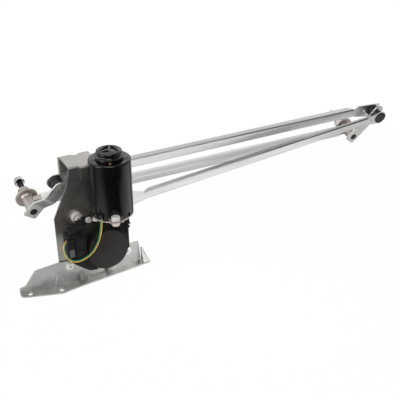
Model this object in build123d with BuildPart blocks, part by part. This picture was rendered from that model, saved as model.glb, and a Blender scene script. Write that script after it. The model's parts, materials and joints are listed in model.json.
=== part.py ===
from build123d import *
import os
from math import atan2, cos, degrees, hypot, pi, radians, sin, tan

# A twin-pivot wiper linkage: a geared motor on a pressed bracket turns a crank,
# the drive rod swings the right lever, and the coupling rod carries that swing to the left.
# Origin at the left panel seat on its spindle axis, X along the tube, Z up, millimetres.

os.makedirs("parts", exist_ok=True)

# Linkage geometry
pivot_spacing = 760.0
pivot_tilt = 17.5
lever_reach = 72.3
lever_rest_angle = 52.7
crank_throw = 46.5
crank_rest_angle = 33.0

# Fits and gaps
running_clearance = 0.05
ball_clearance = 0.1
side_gap = 0.4

# Spindles, bushes and housings
spindle_diameter = 12.0
bush_wall = 1.5
bush_length = 12.0
barrel_length = 38.0
barrel_wall = 3.2
flange_diameter = 43.0
flange_rim = 4.2
flange_web = 2.7
neck_diameter = 18.0
neck_length = 17.0
washer_diameter = 30.0
washer_thickness = 1.5
panel_nut_flats = 24.0
panel_nut_height = 13.0
cone_top_diameter = 10.6
cone_length = 24.0
arm_thread_diameter = 9.6
arm_thread_length = 11.0
arm_nut_flats = 15.0
arm_nut_flange = 20.6
arm_nut_height = 8.5
circlip_width = 2.2
circlip_thickness = 1.1
thrust_washer_thickness = 1.6
spindle_head_diameter = 14.4
spindle_head_height = 0.8

# Cross tube
tube_diameter = 23.0
tube_wall = 1.6
tube_depth = 14.6
tube_gap_from_axis = 24.0
spigot_length = 46.0

# Levers, ball studs and sockets
lever_thickness = 4.0
lever_pivot_half_width = 14.0
lever_end_half_width = 12.4
lever_tail = 14.0
lever_tail_corner = 4.0
right_lever_overhang = 8.0
left_lever_overhang = 3.5
joggle_start = 16.0
joggle_length = 26.0
joggle_depth = 15.5
ball_diameter = 15.0
stud_neck_diameter = 9.0
stud_collar_diameter = 15.0
stud_collar_height = 1.6
socket_diameter = 27.0
socket_mouth_diameter = 22.0
left_socket_height = 15.0
right_socket_height = 10.0
front_cap_height = 1.8
socket_clinch = 2.0
left_socket_room = 20.5
rear_socket_room = 13.0
front_socket_room = 16.0

# Coupling rod, a channel open to the rear
coupling_sheet = 2.5
coupling_height = 22.0
coupling_flange = 12.0
coupling_bend = 3.0
coupling_eye_radius = 15.5
coupling_left_plate = 42.0
coupling_right_plate = 54.0
coupling_end_overhang = 20.0
coupling_end_rise = 17.0
coupling_end_drop = 20.0
coupling_hole_offset = 22.0
coupling_hole_diameter = 5.0

# Drive rod, a channel open to the rear that closes into a box towards the right
drive_sheet = 2.5
drive_height = 23.5
drive_flange = 8.4
drive_bend = 4.5
drive_left_y = -52.0
drive_left_socket_height = 6.0
drive_eye_radius = 17.0
drive_flat_length = 83.0
drive_flare_start = 58.0
drive_flare_rise = 24.0
drive_flare_drop = 15.0
drive_right_flat = 34.0
drive_box_height = 21.0
drive_box_share = 0.31

# Main bracket, an inverted channel
bracket_sheet = 3.0
bracket_face_y = -85.0
bracket_top_z = 82.0
bracket_bottom_z = -128.0
bracket_right_x = 166.0
bracket_top_left_x = 62.0
bracket_waist_x = 25.5
bracket_waist_z = -15.0
bracket_bend = 5.0
bracket_rear_left_x = 62.0
bracket_rear_right_x = 120.0
bracket_rear_bottom_z = -24.0
bracket_lip_depth = 7.0
bracket_lip_bottom_z = 22.0
bracket_dip_x = 92.0
bracket_dip_radius = 9.0
tab_width = 15.0
tab_drop = 27.0
tab_stand_off = 3.0
tab_x = 88.5

# Foot plate
foot_sheet = 3.0
foot_flange_z = -154.0
foot_top_z = -108.0
foot_left_x = -55.0
foot_web_right_x = 194.0
foot_flange_right_x = 211.0
foot_flange_reach = 33.0
foot_hole_diameter = 9.0
foot_hole_xs = (-38.0, 19.0)
foot_hole_reaches = (8.0, 23.0)
gusset_xs = (22.0, 70.0, 124.0)
gusset_widths = (22.0, 14.0, 7.0)
gusset_reaches = (13.0, 11.0, 12.0)
gusset_heights = (27.0, 19.0, 14.0)
foot_bolt_xs = (45.5, 165.0)
foot_bolt_z = -121.0
foot_bolt_flats = 13.0
foot_bolt_shank = 4.0

# Motor
motor_x = 126.0
motor_y = -124.5
can_diameter = 78.0
can_wall = 2.0
can_bottom_z = -5.0
can_top_z = 105.0
can_shoulder = 3.5
can_boss_diameter = 48.0
can_boss_height = 3.0
cap_diameter = 52.0
cap_neck_diameter = 43.0
cap_top_diameter = 46.8
cap_height = 13.5
cap_recess_diameter = 30.0
cap_recess_depth = 4.0
cap_spoke = 4.0
armature_shaft_diameter = 8.0
core_diameter = 46.0
core_length = 52.0
core_bottom_z = 27.0
core_slots = 10
magnet_gap = 1.0
magnet_length = 66.0
magnet_bottom_z = 20.0
commutator_diameter = 22.0
commutator_length = 15.0
commutator_bottom_z = 8.0
brush_plate_thickness = 3.0
brush_plate_z = 2.0
brush_width = 6.0
brush_height = 9.0
brush_length = 14.0

# Gearbox, with its output shaft square to the bracket face
gear_center_distance = 25.0
gear_z = -63.0
wheel_width = 12.0
wheel_teeth = 36
worm_diameter = 12.0
worm_length = 44.0
tooth_depth = 2.2
output_shaft_diameter = 12.0
output_boss_diameter = 26.0
output_bush_wall = 1.8
chamber_wall = 4.0
chamber_radius = 25.0
worm_tube_diameter = 28.0
worm_tube_bottom_z = -95.0
motor_flange_thickness = 2.8
mount_plate_thickness = 10.0
mount_bolt_circle = 54.0
mount_bolt_angles = (128.0, 42.0, 270.0)
mount_bolt_diameter = 6.0
mount_lug_radius = 10.5
mount_bolt_flats = 10.0
mount_bolt_head = 5.0
motor_bolt_circle = 47.0
motor_bolt_angles = (-105.0, 38.0)
motor_bolt_diameter = 6.0
motor_bolt_flats = 13.0
motor_bolt_head = 7.0
motor_lug_radius = 10.0
motor_lug_rise = 7.5
motor_lug_drop = 4.5

# Black gearbox cover and its electrical connector
cover_radius = 40.0
cover_front_y = -158.0
cover_step_y = -145.0
cover_rear_y = -112.0
cover_wall = 2.5
cover_top_z = -12.5
cover_raise = 4.2
cover_right_x = 148.0
cover_left_x = 31.0
cover_bolt_x = 78.0
cover_bolt_length = 10.0
cover_bolt_flats = 10.0
cover_bolt_head = 6.0
connector_left_x = 25.0
connector_right_x = 57.0
connector_top_z = -24.0
connector_bottom_z = -73.0
connector_tab_width = 9.0
connector_tab_height = 15.0

# Crank
crank_thickness = 5.0
crank_hub_radius = 13.0
crank_end_radius = 8.0
crank_gap = 2.0
crank_pin_diameter = 11.0
crank_pin_height = 7.0
crank_nut_flats = 17.0
crank_nut_height = 6.5

# Wires
wire_diameter = 1.9
grommet_length = 8.0

# Directions: out of the panel along a spindle, up across it, and along the levers at rest
tilt = radians(pivot_tilt)
spindle_out = Vector(0, cos(tilt), sin(tilt))
lift = Vector(0, -sin(tilt), cos(tilt))
along = Vector(1, 0, 0)
rest = radians(lever_rest_angle)
lever_way = along * cos(rest) + lift * sin(rest)

# Depths along a spindle, counted from the panel seat towards the linkage
lever_rear_depth = barrel_length + thrust_washer_thickness + side_gap
lever_front_depth = lever_rear_depth + lever_thickness
joggled_front_depth = lever_front_depth + joggle_depth
joggled_rear_depth = joggled_front_depth - lever_thickness
coupling_left_depth = joggled_rear_depth - left_socket_room
coupling_right_depth = lever_rear_depth - rear_socket_room
drive_right_depth = lever_front_depth + front_socket_room

spindle_radius = spindle_diameter / 2
bush_radius = spindle_radius + bush_wall
barrel_radius = bush_radius + barrel_wall
neck_radius = neck_diameter / 2
tube_radius = tube_diameter / 2


def pivot_plane(x):
    """Plane square to a spindle at the panel seat, its normal pointing to the linkage."""
    return Plane(origin=(x, 0, 0), x_dir=along, z_dir=-spindle_out)


def section_plane(origin):
    """Plane holding a spindle-parallel axis: radius across, height out of the panel."""
    return Plane(origin=origin, x_dir=along, z_dir=lift)


def place(x, up, depth):
    """Point at x, raised across the spindle and set towards the linkage by a depth."""
    return along * x + lift * up - spindle_out * depth


def nut_body(flats, height, bore_radius, rim=0.0):
    """Hexagon with its corners turned off, standing on the plane z = 0."""
    corner = flats / 2 / cos(pi / 6)
    bevel = (corner - flats / 2) * 0.6
    with BuildPart() as hexagon:
        with BuildSketch():
            RegularPolygon(flats / 2, 6, major_radius=False)
        extrude(amount=height)
        with BuildSketch(Plane.XZ):
            with BuildLine():
                Polyline(
                    (0, 0), (flats / 2, 0), (corner, bevel), (corner, height - bevel),
                    (flats / 2, height), (0, height), close=True,
                )
            make_face()
        revolve(axis=Axis.Z, mode=Mode.INTERSECT)
        if rim:
            with BuildSketch():
                Circle(rim)
            extrude(amount=height * 0.25)
        if bore_radius:
            with BuildSketch():
                Circle(bore_radius)
            extrude(amount=height, mode=Mode.SUBTRACT)
    return hexagon.part


def bolt_body(flats, head_height, shank_radius, shank_length, washer_radius=0.0):
    """Hexagon head above z = 0 with its shank below."""
    with BuildPart() as bolt:
        add(nut_body(flats, head_height, 0))
        if washer_radius:
            with BuildSketch():
                Circle(washer_radius)
            extrude(amount=head_height * 0.2)
        with BuildSketch():
            Circle(shank_radius)
        extrude(amount=-shank_length)
    return bolt.part


# Spindle housings: a flange that meets the panel, a threaded neck and a tube spigot
neck_bore_radius = spindle_radius + 4 * running_clearance
spigot_radius = tube_radius - tube_wall
housing_outline = (
    (bush_radius, -barrel_length),
    (barrel_radius, -barrel_length),
    (barrel_radius, -flange_rim - flange_web),
    (barrel_radius + flange_web, -flange_web),
    (flange_diameter / 2 - 2, -flange_rim),
    (flange_diameter / 2, -flange_rim + 0.5),
    (flange_diameter / 2, 0),
    (neck_radius, 0),
    (neck_radius, neck_length),
    (neck_bore_radius, neck_length),
    (neck_bore_radius, -1),
    (bush_radius, -1),
)
bush_starts = (-1.0, -barrel_length + bush_length)
for side, pivot_x, inward in (("left", 0.0, 1), ("right", pivot_spacing, -1)):
    section = section_plane((pivot_x, 0, 0))
    spigot_plane = Plane(origin=place(pivot_x, 0, tube_depth), x_dir=lift, z_dir=along * inward)
    with BuildPart() as housing:
        with BuildSketch(section):
            with BuildLine():
                Polyline(*housing_outline, close=True)
            make_face()
        revolve(axis=Axis(section.origin, section.y_dir))
        with BuildSketch(spigot_plane.offset(bush_radius)):
            Circle(spigot_radius - running_clearance)
        extrude(amount=tube_gap_from_axis + spigot_length - bush_radius)
        with BuildSketch(pivot_plane(pivot_x).offset(1)):
            Circle(bush_radius)
        extrude(amount=barrel_length - 1, mode=Mode.SUBTRACT)
    housing.part.label = f"{side}_housing"
    export_step(housing.part, f"parts/{side}_housing.step")

    with BuildPart() as spindle_bushes:
        for top in bush_starts:
            with BuildSketch(pivot_plane(pivot_x).offset(-top)):
                Circle(bush_radius)
                Circle(spindle_radius + running_clearance, mode=Mode.SUBTRACT)
            extrude(amount=bush_length)
    spindle_bushes.part.label = f"{side}_spindle_bushes"
    export_step(spindle_bushes.part, f"parts/{side}_spindle_bushes.step")

# Cross tube between the housings
with BuildPart() as frame_tube:
    with BuildSketch(Plane(origin=place(tube_gap_from_axis, 0, tube_depth), x_dir=lift, z_dir=along)):
        Circle(tube_radius)
        Circle(spigot_radius, mode=Mode.SUBTRACT)
    extrude(amount=pivot_spacing - 2 * tube_gap_from_axis)
frame_tube.part.label = "frame_tube"
export_step(frame_tube.part, "parts/frame_tube.step")

# Washer and nut that clamp the panel on each neck
panel_nut = nut_body(panel_nut_flats, panel_nut_height, neck_radius)
with BuildPart() as panel_washers:
    for pivot_x in (0.0, pivot_spacing):
        with BuildSketch(pivot_plane(pivot_x)):
            Circle(washer_diameter / 2)
            Circle(neck_radius, mode=Mode.SUBTRACT)
        extrude(amount=-washer_thickness)
panel_washers.part.label = "panel_washers"
export_step(panel_washers.part, "parts/panel_washers.step")

nut_seats = [pivot_plane(x).offset(-washer_thickness - panel_nut_height) for x in (0.0, pivot_spacing)]
with BuildPart() as panel_nuts:
    with Locations(*[seat.location for seat in nut_seats]):
        add(panel_nut)
panel_nuts.part.label = "panel_nuts"
export_step(panel_nuts.part, "parts/panel_nuts.step")

# Spindles: riveted head, bearing length, circlip groove, knurled cone and arm thread
groove_radius = spindle_radius - 0.5
cone_start = neck_length + circlip_thickness + 1.2
cone_end = cone_start + cone_length
spindle_outline = (
    (0, -lever_front_depth - spindle_head_height),
    (spindle_head_diameter / 2 - 0.6, -lever_front_depth - spindle_head_height),
    (spindle_head_diameter / 2, -lever_front_depth - spindle_head_height / 2),
    (spindle_head_diameter / 2, -lever_front_depth),
    (spindle_radius, -lever_front_depth),
    (spindle_radius, neck_length + side_gap / 2),
    (groove_radius, neck_length + side_gap / 2),
    (groove_radius, neck_length + side_gap / 2 + circlip_thickness),
    (spindle_radius, neck_length + side_gap / 2 + circlip_thickness),
    (spindle_radius, cone_start),
    (cone_top_diameter / 2, cone_end),
    (arm_thread_diameter / 2, cone_end),
    (arm_thread_diameter / 2, cone_end + arm_thread_length - 1),
    (arm_thread_diameter / 2 - 1, cone_end + arm_thread_length),
    (0, cone_end + arm_thread_length),
)
arm_nut_outline = (
    (arm_thread_diameter / 2, cone_end + 0.5 + arm_nut_height),
    (arm_thread_diameter / 2, cone_end + 0.5),
    (cone_top_diameter / 2 + 1.2, cone_end + 0.5),
    (arm_nut_flange / 2 - 1.2, cone_end - 1.5),
    (arm_nut_flange / 2, cone_end - 1.5),
    (arm_nut_flange / 2, cone_end + 0.2),
    (arm_nut_flats / 2 + 1, cone_end + 1.8),
    (arm_nut_flats / 2, cone_end + 1.8),
    (arm_nut_flats / 2, cone_end + 0.5 + arm_nut_height),
)
for side, pivot_x in (("left", 0.0), ("right", pivot_spacing)):
    section = section_plane((pivot_x, 0, 0))
    with BuildPart() as spindle:
        with BuildSketch(section):
            with BuildLine():
                Polyline(*spindle_outline, close=True)
            make_face()
        revolve(axis=Axis(section.origin, section.y_dir))
    spindle.part.label = f"{side}_spindle"
    export_step(spindle.part, f"parts/{side}_spindle.step")

    with BuildPart() as circlip:
        with BuildSketch(pivot_plane(pivot_x).offset(-neck_length - side_gap / 2)):
            Circle(groove_radius + circlip_width)
            Circle(groove_radius, mode=Mode.SUBTRACT)
        extrude(amount=-circlip_thickness)
    circlip.part.label = f"{side}_circlip"
    export_step(circlip.part, f"parts/{side}_circlip.step")

    with BuildPart() as thrust_washer:
        with BuildSketch(pivot_plane(pivot_x).offset(barrel_length + side_gap / 2)):
            Circle(barrel_radius - 0.8)
            Circle(spindle_radius, mode=Mode.SUBTRACT)
        extrude(amount=thrust_washer_thickness)
    thrust_washer.part.label = f"{side}_thrust_washer"
    export_step(thrust_washer.part, f"parts/{side}_thrust_washer.step")

    # Flanged arm nut: a hexagon above a dished flange, turned about the spindle
    with BuildPart() as arm_nut:
        with BuildSketch(pivot_plane(pivot_x).offset(-cone_end - 1.8)):
            RegularPolygon(arm_nut_flats / 2, 6, major_radius=False)
            Circle(arm_thread_diameter / 2, mode=Mode.SUBTRACT)
        extrude(amount=-arm_nut_height + 1.3)
        with BuildSketch(section):
            with BuildLine():
                Polyline(*arm_nut_outline, close=True)
            make_face()
        revolve(axis=Axis(section.origin, section.y_dir))
    arm_nut.part.label = f"{side}_arm_nut"
    export_step(arm_nut.part, f"parts/{side}_arm_nut.step")


# Levers: strips cut square at the pivot, round at the ball stud
def lever_plane(pivot_x, depth):
    """Plane of a lever at rest, x running from the pivot to the ball stud."""
    return Plane(origin=place(pivot_x, 0, depth), x_dir=lever_way, z_dir=-spindle_out)


def lever_blank(length):
    """Plan of a lever: a strip that narrows from the pivot to a round end."""
    with BuildSketch() as plan:
        with BuildLine():
            Polyline(
                (-lever_tail, -lever_pivot_half_width), (lever_tail, -lever_pivot_half_width),
                (length, -lever_end_half_width), (length, lever_end_half_width),
                (lever_tail, lever_pivot_half_width), (-lever_tail, lever_pivot_half_width),
                close=True,
            )
        make_face()
        fillet(plan.vertices().group_by(Axis.X)[0], lever_tail_corner)
        with Locations((length, 0)):
            Circle(lever_end_half_width)
    return plan.sketch


right_plan = lever_blank(lever_reach + right_lever_overhang)
with BuildPart() as right_lever:
    with BuildSketch(lever_plane(pivot_spacing, lever_rear_depth)):
        add(right_plan)
        Circle(spindle_radius, mode=Mode.SUBTRACT)
        with Locations((lever_reach, 0)):
            Circle(stud_neck_diameter / 2, mode=Mode.SUBTRACT)
    extrude(amount=lever_thickness)
    fillet(right_lever.edges().filter_by(GeomType.LINE).filter_by(Axis(origin=(0, 0, 0), direction=lever_way)), 0.6)
right_lever.part.label = "right_lever"
export_step(right_lever.part, "parts/right_lever.step")

# The left lever steps towards the linkage between its pivot and its ball stud
left_plan = lever_blank(lever_reach + left_lever_overhang)
left_length = lever_reach + left_lever_overhang + lever_end_half_width
mid_depth = lever_rear_depth + lever_thickness / 2
side_view = Plane(
    origin=place(0, 0, 0), x_dir=lever_way, z_dir=spindle_out.cross(lever_way) * -1
)
with BuildPart() as left_lever:
    with BuildSketch(side_view):
        with BuildLine():
            FilletPolyline(
                (-lever_tail, -mid_depth),
                (joggle_start, -mid_depth),
                (joggle_start + joggle_length, -mid_depth - joggle_depth),
                (left_length, -mid_depth - joggle_depth),
                radius=2.5 * lever_thickness,
            )
        trace(line_width=lever_thickness)
    extrude(amount=lever_pivot_half_width + 1, both=True)
    with BuildSketch(lever_plane(0, lever_rear_depth - 1)):
        add(left_plan)
        Circle(spindle_radius, mode=Mode.SUBTRACT)
        with Locations((lever_reach, 0)):
            Circle(stud_neck_diameter / 2, mode=Mode.SUBTRACT)
    extrude(amount=joggle_depth + lever_thickness + 2, mode=Mode.INTERSECT)
left_lever.part.label = "left_lever"
export_step(left_lever.part, "parts/left_lever.step")

# Rod ends and the planes of both rods
left_ball_x = lever_reach * cos(rest)
right_ball_x = pivot_spacing + left_ball_x
ball_up = lever_reach * sin(rest)
ball_radius = ball_diameter / 2
neck_half = stud_neck_diameter / 2
socket_radius = socket_diameter / 2
mouth_radius = socket_mouth_diameter / 2


def rod_plane(start, end):
    """Plane of a rod's web: x from its first joint to its second, z to the linkage."""
    x_dir = (end - start).normalized()
    normal = -spindle_out
    normal = (normal - x_dir * normal.dot(x_dir)).normalized()
    return Plane(origin=start, x_dir=x_dir, z_dir=normal)


coupling_start = place(left_ball_x, ball_up, coupling_left_depth)
coupling_end = place(right_ball_x, ball_up, coupling_right_depth)
coupling_plane = rod_plane(coupling_start, coupling_end)
coupling_length = (coupling_end - coupling_start).length

crank_x = motor_x - gear_center_distance
crank_angle = radians(crank_rest_angle)
pin_x = crank_x + crank_throw * cos(crank_angle)
pin_z = gear_z + crank_throw * sin(crank_angle)
drive_start = Vector(pin_x, drive_left_y, pin_z)
drive_end = place(right_ball_x, ball_up, drive_right_depth)
drive_plane = rod_plane(drive_start, drive_end)
drive_length = (drive_end - drive_start).length


# Ball studs riveted through the levers
left_ball_depth = coupling_left_depth + left_socket_height / 2 + 1
rear_ball_depth = coupling_right_depth + right_socket_height / 2 + 0.5
front_ball_depth = lever_front_depth + 7.2
with BuildPart() as left_ball_stud:
    with BuildSketch(section_plane(place(left_ball_x, ball_up, 0))) as left_stud_section:
        with BuildLine():
            Polyline(
                (0, -joggled_front_depth - 1.2), (neck_half + 1.5, -joggled_front_depth - 1.2),
                (neck_half + 1.5, -joggled_front_depth), (neck_half, -joggled_front_depth),
                (neck_half, -joggled_rear_depth), (stud_collar_diameter / 2, -joggled_rear_depth),
                (stud_collar_diameter / 2, -joggled_rear_depth + stud_collar_height),
                (neck_half, -joggled_rear_depth + stud_collar_height), (neck_half, -left_ball_depth),
                (0, -left_ball_depth), close=True,
            )
        make_face()
    revolve(axis=Axis(place(left_ball_x, ball_up, 0), spindle_out))
    with Locations(place(left_ball_x, ball_up, left_ball_depth)):
        Sphere(ball_radius)
left_ball_stud.part.label = "left_ball_stud"
export_step(left_ball_stud.part, "parts/left_ball_stud.step")

with BuildPart() as right_ball_stud:
    with BuildSketch(section_plane(place(right_ball_x, ball_up, 0))) as right_stud_section:
        with BuildLine():
            Polyline(
                (0, -front_ball_depth), (neck_half, -front_ball_depth),
                (neck_half, -lever_front_depth - stud_collar_height),
                (stud_collar_diameter / 2, -lever_front_depth - stud_collar_height),
                (stud_collar_diameter / 2, -lever_front_depth), (neck_half, -lever_front_depth),
                (neck_half, -lever_rear_depth), (stud_collar_diameter / 2, -lever_rear_depth),
                (stud_collar_diameter / 2, -lever_rear_depth + stud_collar_height),
                (neck_half, -lever_rear_depth + stud_collar_height), (neck_half, -rear_ball_depth),
                (0, -rear_ball_depth), close=True,
            )
        make_face()
    revolve(axis=Axis(place(right_ball_x, ball_up, 0), spindle_out))
    with Locations(place(right_ball_x, ball_up, rear_ball_depth)):
        Sphere(ball_radius)
    with Locations(place(right_ball_x, ball_up, front_ball_depth)):
        Sphere(ball_radius)
right_ball_stud.part.label = "right_ball_stud"
export_step(right_ball_stud.part, "parts/right_ball_stud.step")


# Black ball sockets, each clinched in the eye of its rod
eye_hole_radius = socket_radius - 4.0


def socket_body(origin, normal, height, sheet, ball_height, flipped=False):
    """Cup on a rod's web: flange in front, clinched rim behind, ball pocket from the mouth.

    The plane's normal points to the mouth, and heights count from the web's front face.
    """
    mouth = Plane(origin=origin, x_dir=along, z_dir=normal)
    with BuildPart() as cup:
        with BuildSketch(mouth):
            Circle(socket_radius)
        extrude(amount=height * 0.4)
        with BuildSketch(mouth):
            Circle(socket_radius - 0.8)
        extrude(amount=height, taper=degrees(atan2(socket_radius - 0.8 - mouth_radius, height)))
        with BuildSketch(mouth.offset(-sheet)):
            Circle(eye_hole_radius)
        extrude(amount=sheet)
        with BuildSketch(mouth.offset(-sheet - socket_clinch)):
            Circle(eye_hole_radius + 1.5)
        extrude(amount=socket_clinch)
        with Locations(mouth.origin + mouth.z_dir * ball_height):
            Sphere(ball_radius + ball_clearance, mode=Mode.SUBTRACT)
        with BuildSketch(mouth.offset(ball_height)):
            Circle(neck_half + 1.6)
        extrude(amount=height, mode=Mode.SUBTRACT)
    return cup.part


socket_normal = coupling_plane.z_dir
coupling_left_socket = socket_body(
    coupling_start, socket_normal, left_socket_height, coupling_sheet,
    left_ball_depth - coupling_left_depth,
)
coupling_left_socket.label = "coupling_left_socket"
export_step(coupling_left_socket, "parts/coupling_left_socket.step")

coupling_right_socket = socket_body(
    coupling_end, socket_normal, right_socket_height, coupling_sheet,
    rear_ball_depth - coupling_right_depth,
)
coupling_right_socket.label = "coupling_right_socket"
export_step(coupling_right_socket, "parts/coupling_right_socket.step")

# The front socket hangs behind its plate: a thin closed cap shows in front
front_cap_plane = Plane(origin=drive_end, x_dir=along, z_dir=drive_plane.z_dir)
front_mouth_depth = lever_front_depth + stud_collar_height + side_gap
front_cup_length = drive_right_depth - front_mouth_depth
with BuildPart() as drive_right_socket:
    with BuildSketch(front_cap_plane):
        Circle(socket_radius)
    extrude(amount=front_cap_height)
    with BuildSketch(front_cap_plane.offset(-drive_sheet)):
        Circle(eye_hole_radius)
    extrude(amount=drive_sheet)
    with BuildSketch(front_cap_plane.offset(-front_cup_length)):
        Circle(mouth_radius)
    extrude(amount=front_cup_length - drive_sheet)
    with Locations(place(right_ball_x, ball_up, front_ball_depth)):
        Sphere(ball_radius + ball_clearance, mode=Mode.SUBTRACT)
    with BuildSketch(front_cap_plane.offset(front_ball_depth - drive_right_depth)):
        Circle(neck_half + 1.6)
    extrude(amount=-front_cup_length, mode=Mode.SUBTRACT)
    with BuildSketch(front_cap_plane.offset(front_cap_height)):
        Circle(socket_radius - 2.6)
        Circle(socket_radius - 5.4, mode=Mode.SUBTRACT)
    extrude(amount=-0.8, mode=Mode.SUBTRACT)
    with BuildSketch(front_cap_plane.offset(front_cap_height)):
        Circle(socket_radius - 9)
    extrude(amount=-0.6, mode=Mode.SUBTRACT)
drive_right_socket.part.label = "drive_right_socket"
export_step(drive_right_socket.part, "parts/drive_right_socket.step")

# The left socket of the drive rod stands clear of the crank pin
with BuildPart() as drive_left_socket:
    with BuildSketch(drive_plane.offset(-drive_sheet - socket_clinch)):
        Circle(eye_hole_radius + 1.5)
    extrude(amount=socket_clinch)
    with BuildSketch(drive_plane.offset(-drive_sheet)):
        Circle(eye_hole_radius)
    extrude(amount=drive_sheet)
    with BuildSketch(drive_plane):
        Circle(socket_radius)
    extrude(amount=drive_left_socket_height)
    with BuildSketch(drive_plane.offset(drive_left_socket_height)):
        Circle(crank_pin_diameter / 2 + 1)
    extrude(amount=-drive_left_socket_height, mode=Mode.SUBTRACT)
drive_left_socket.part.label = "drive_left_socket"
export_step(drive_left_socket.part, "parts/drive_left_socket.step")


# Both rods are pressed channels whose flanges run out before their flat eyes
def rod_section_plane(plane, distance):
    """Plane across a rod: x across its web, y along the web's normal."""
    return Plane(
        origin=plane.origin + plane.x_dir * distance, x_dir=plane.y_dir, z_dir=plane.x_dir
    )


coupling_channel_start = coupling_left_plate
coupling_channel_end = coupling_length - coupling_right_plate
coupling_web_half = coupling_height / 2 - coupling_bend
run_outs = ((coupling_channel_start, 1), (coupling_channel_end, -1))
with BuildPart() as coupling_rod:
    with BuildSketch(rod_section_plane(coupling_plane, coupling_channel_start)):
        with BuildLine():
            Polyline(
                (-coupling_height / 2, -coupling_flange), (-coupling_height / 2, 0),
                (coupling_height / 2, 0), (coupling_height / 2, -coupling_flange),
                (coupling_height / 2 - coupling_sheet, -coupling_flange),
                (coupling_height / 2 - coupling_sheet, -coupling_sheet),
                (-coupling_height / 2 + coupling_sheet, -coupling_sheet),
                (-coupling_height / 2 + coupling_sheet, -coupling_flange), close=True,
            )
        make_face()
    extrude(amount=coupling_channel_end - coupling_channel_start)
    bends = coupling_rod.edges().filter_by(Axis(origin=(0, 0, 0), direction=coupling_plane.x_dir))
    fillet(bends.group_by(Axis(coupling_plane.origin, coupling_plane.z_dir))[-1], coupling_bend)
    with BuildSketch(coupling_plane.offset(-coupling_sheet)):
        with BuildLine():
            Polyline(
                (0, coupling_eye_radius), (coupling_left_plate * 0.6, coupling_eye_radius),
                (coupling_channel_start, coupling_web_half), (coupling_channel_start + 8, coupling_web_half),
                (coupling_channel_start + 8, -coupling_web_half), (coupling_channel_start, -coupling_web_half),
                (coupling_left_plate * 0.6, -coupling_eye_radius), (0, -coupling_eye_radius), close=True,
            )
        make_face()
        Circle(coupling_eye_radius)
        # The right plate widens at once and ends square behind the rear socket
        with BuildLine():
            Polyline(
                (coupling_channel_end - 8, coupling_web_half), (coupling_channel_end, coupling_web_half),
                (coupling_channel_end + 12, coupling_end_rise),
                (coupling_length + coupling_end_overhang, coupling_eye_radius - 3),
                (coupling_length + coupling_end_overhang, -coupling_eye_radius + 3),
                (coupling_length + 6, -coupling_end_drop), (coupling_length - 4, -coupling_end_drop),
                (coupling_channel_end + 8, -coupling_height / 2), (coupling_channel_end, -coupling_web_half),
                (coupling_channel_end - 8, -coupling_web_half), close=True,
            )
        make_face()
        with Locations((0, 0), (coupling_length, 0)):
            Circle(eye_hole_radius, mode=Mode.SUBTRACT)
        with Locations((coupling_length - coupling_hole_offset, 0)):
            Circle(coupling_hole_diameter / 2, mode=Mode.SUBTRACT)
    extrude(amount=coupling_sheet)
    for run_x, way in run_outs:
        with BuildSketch(Plane(origin=coupling_plane.origin, x_dir=coupling_plane.x_dir,
                               z_dir=-coupling_plane.y_dir)):
            with BuildLine():
                Polyline(
                    (run_x, -coupling_flange - 1), (run_x + way * 16, -coupling_flange - 1),
                    (run_x, -coupling_sheet - 0.5), close=True,
                )
            make_face()
        extrude(amount=coupling_height, both=True, mode=Mode.SUBTRACT)
coupling_rod.part.label = "coupling_rod"
export_step(coupling_rod.part, "parts/coupling_rod.step")

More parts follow.
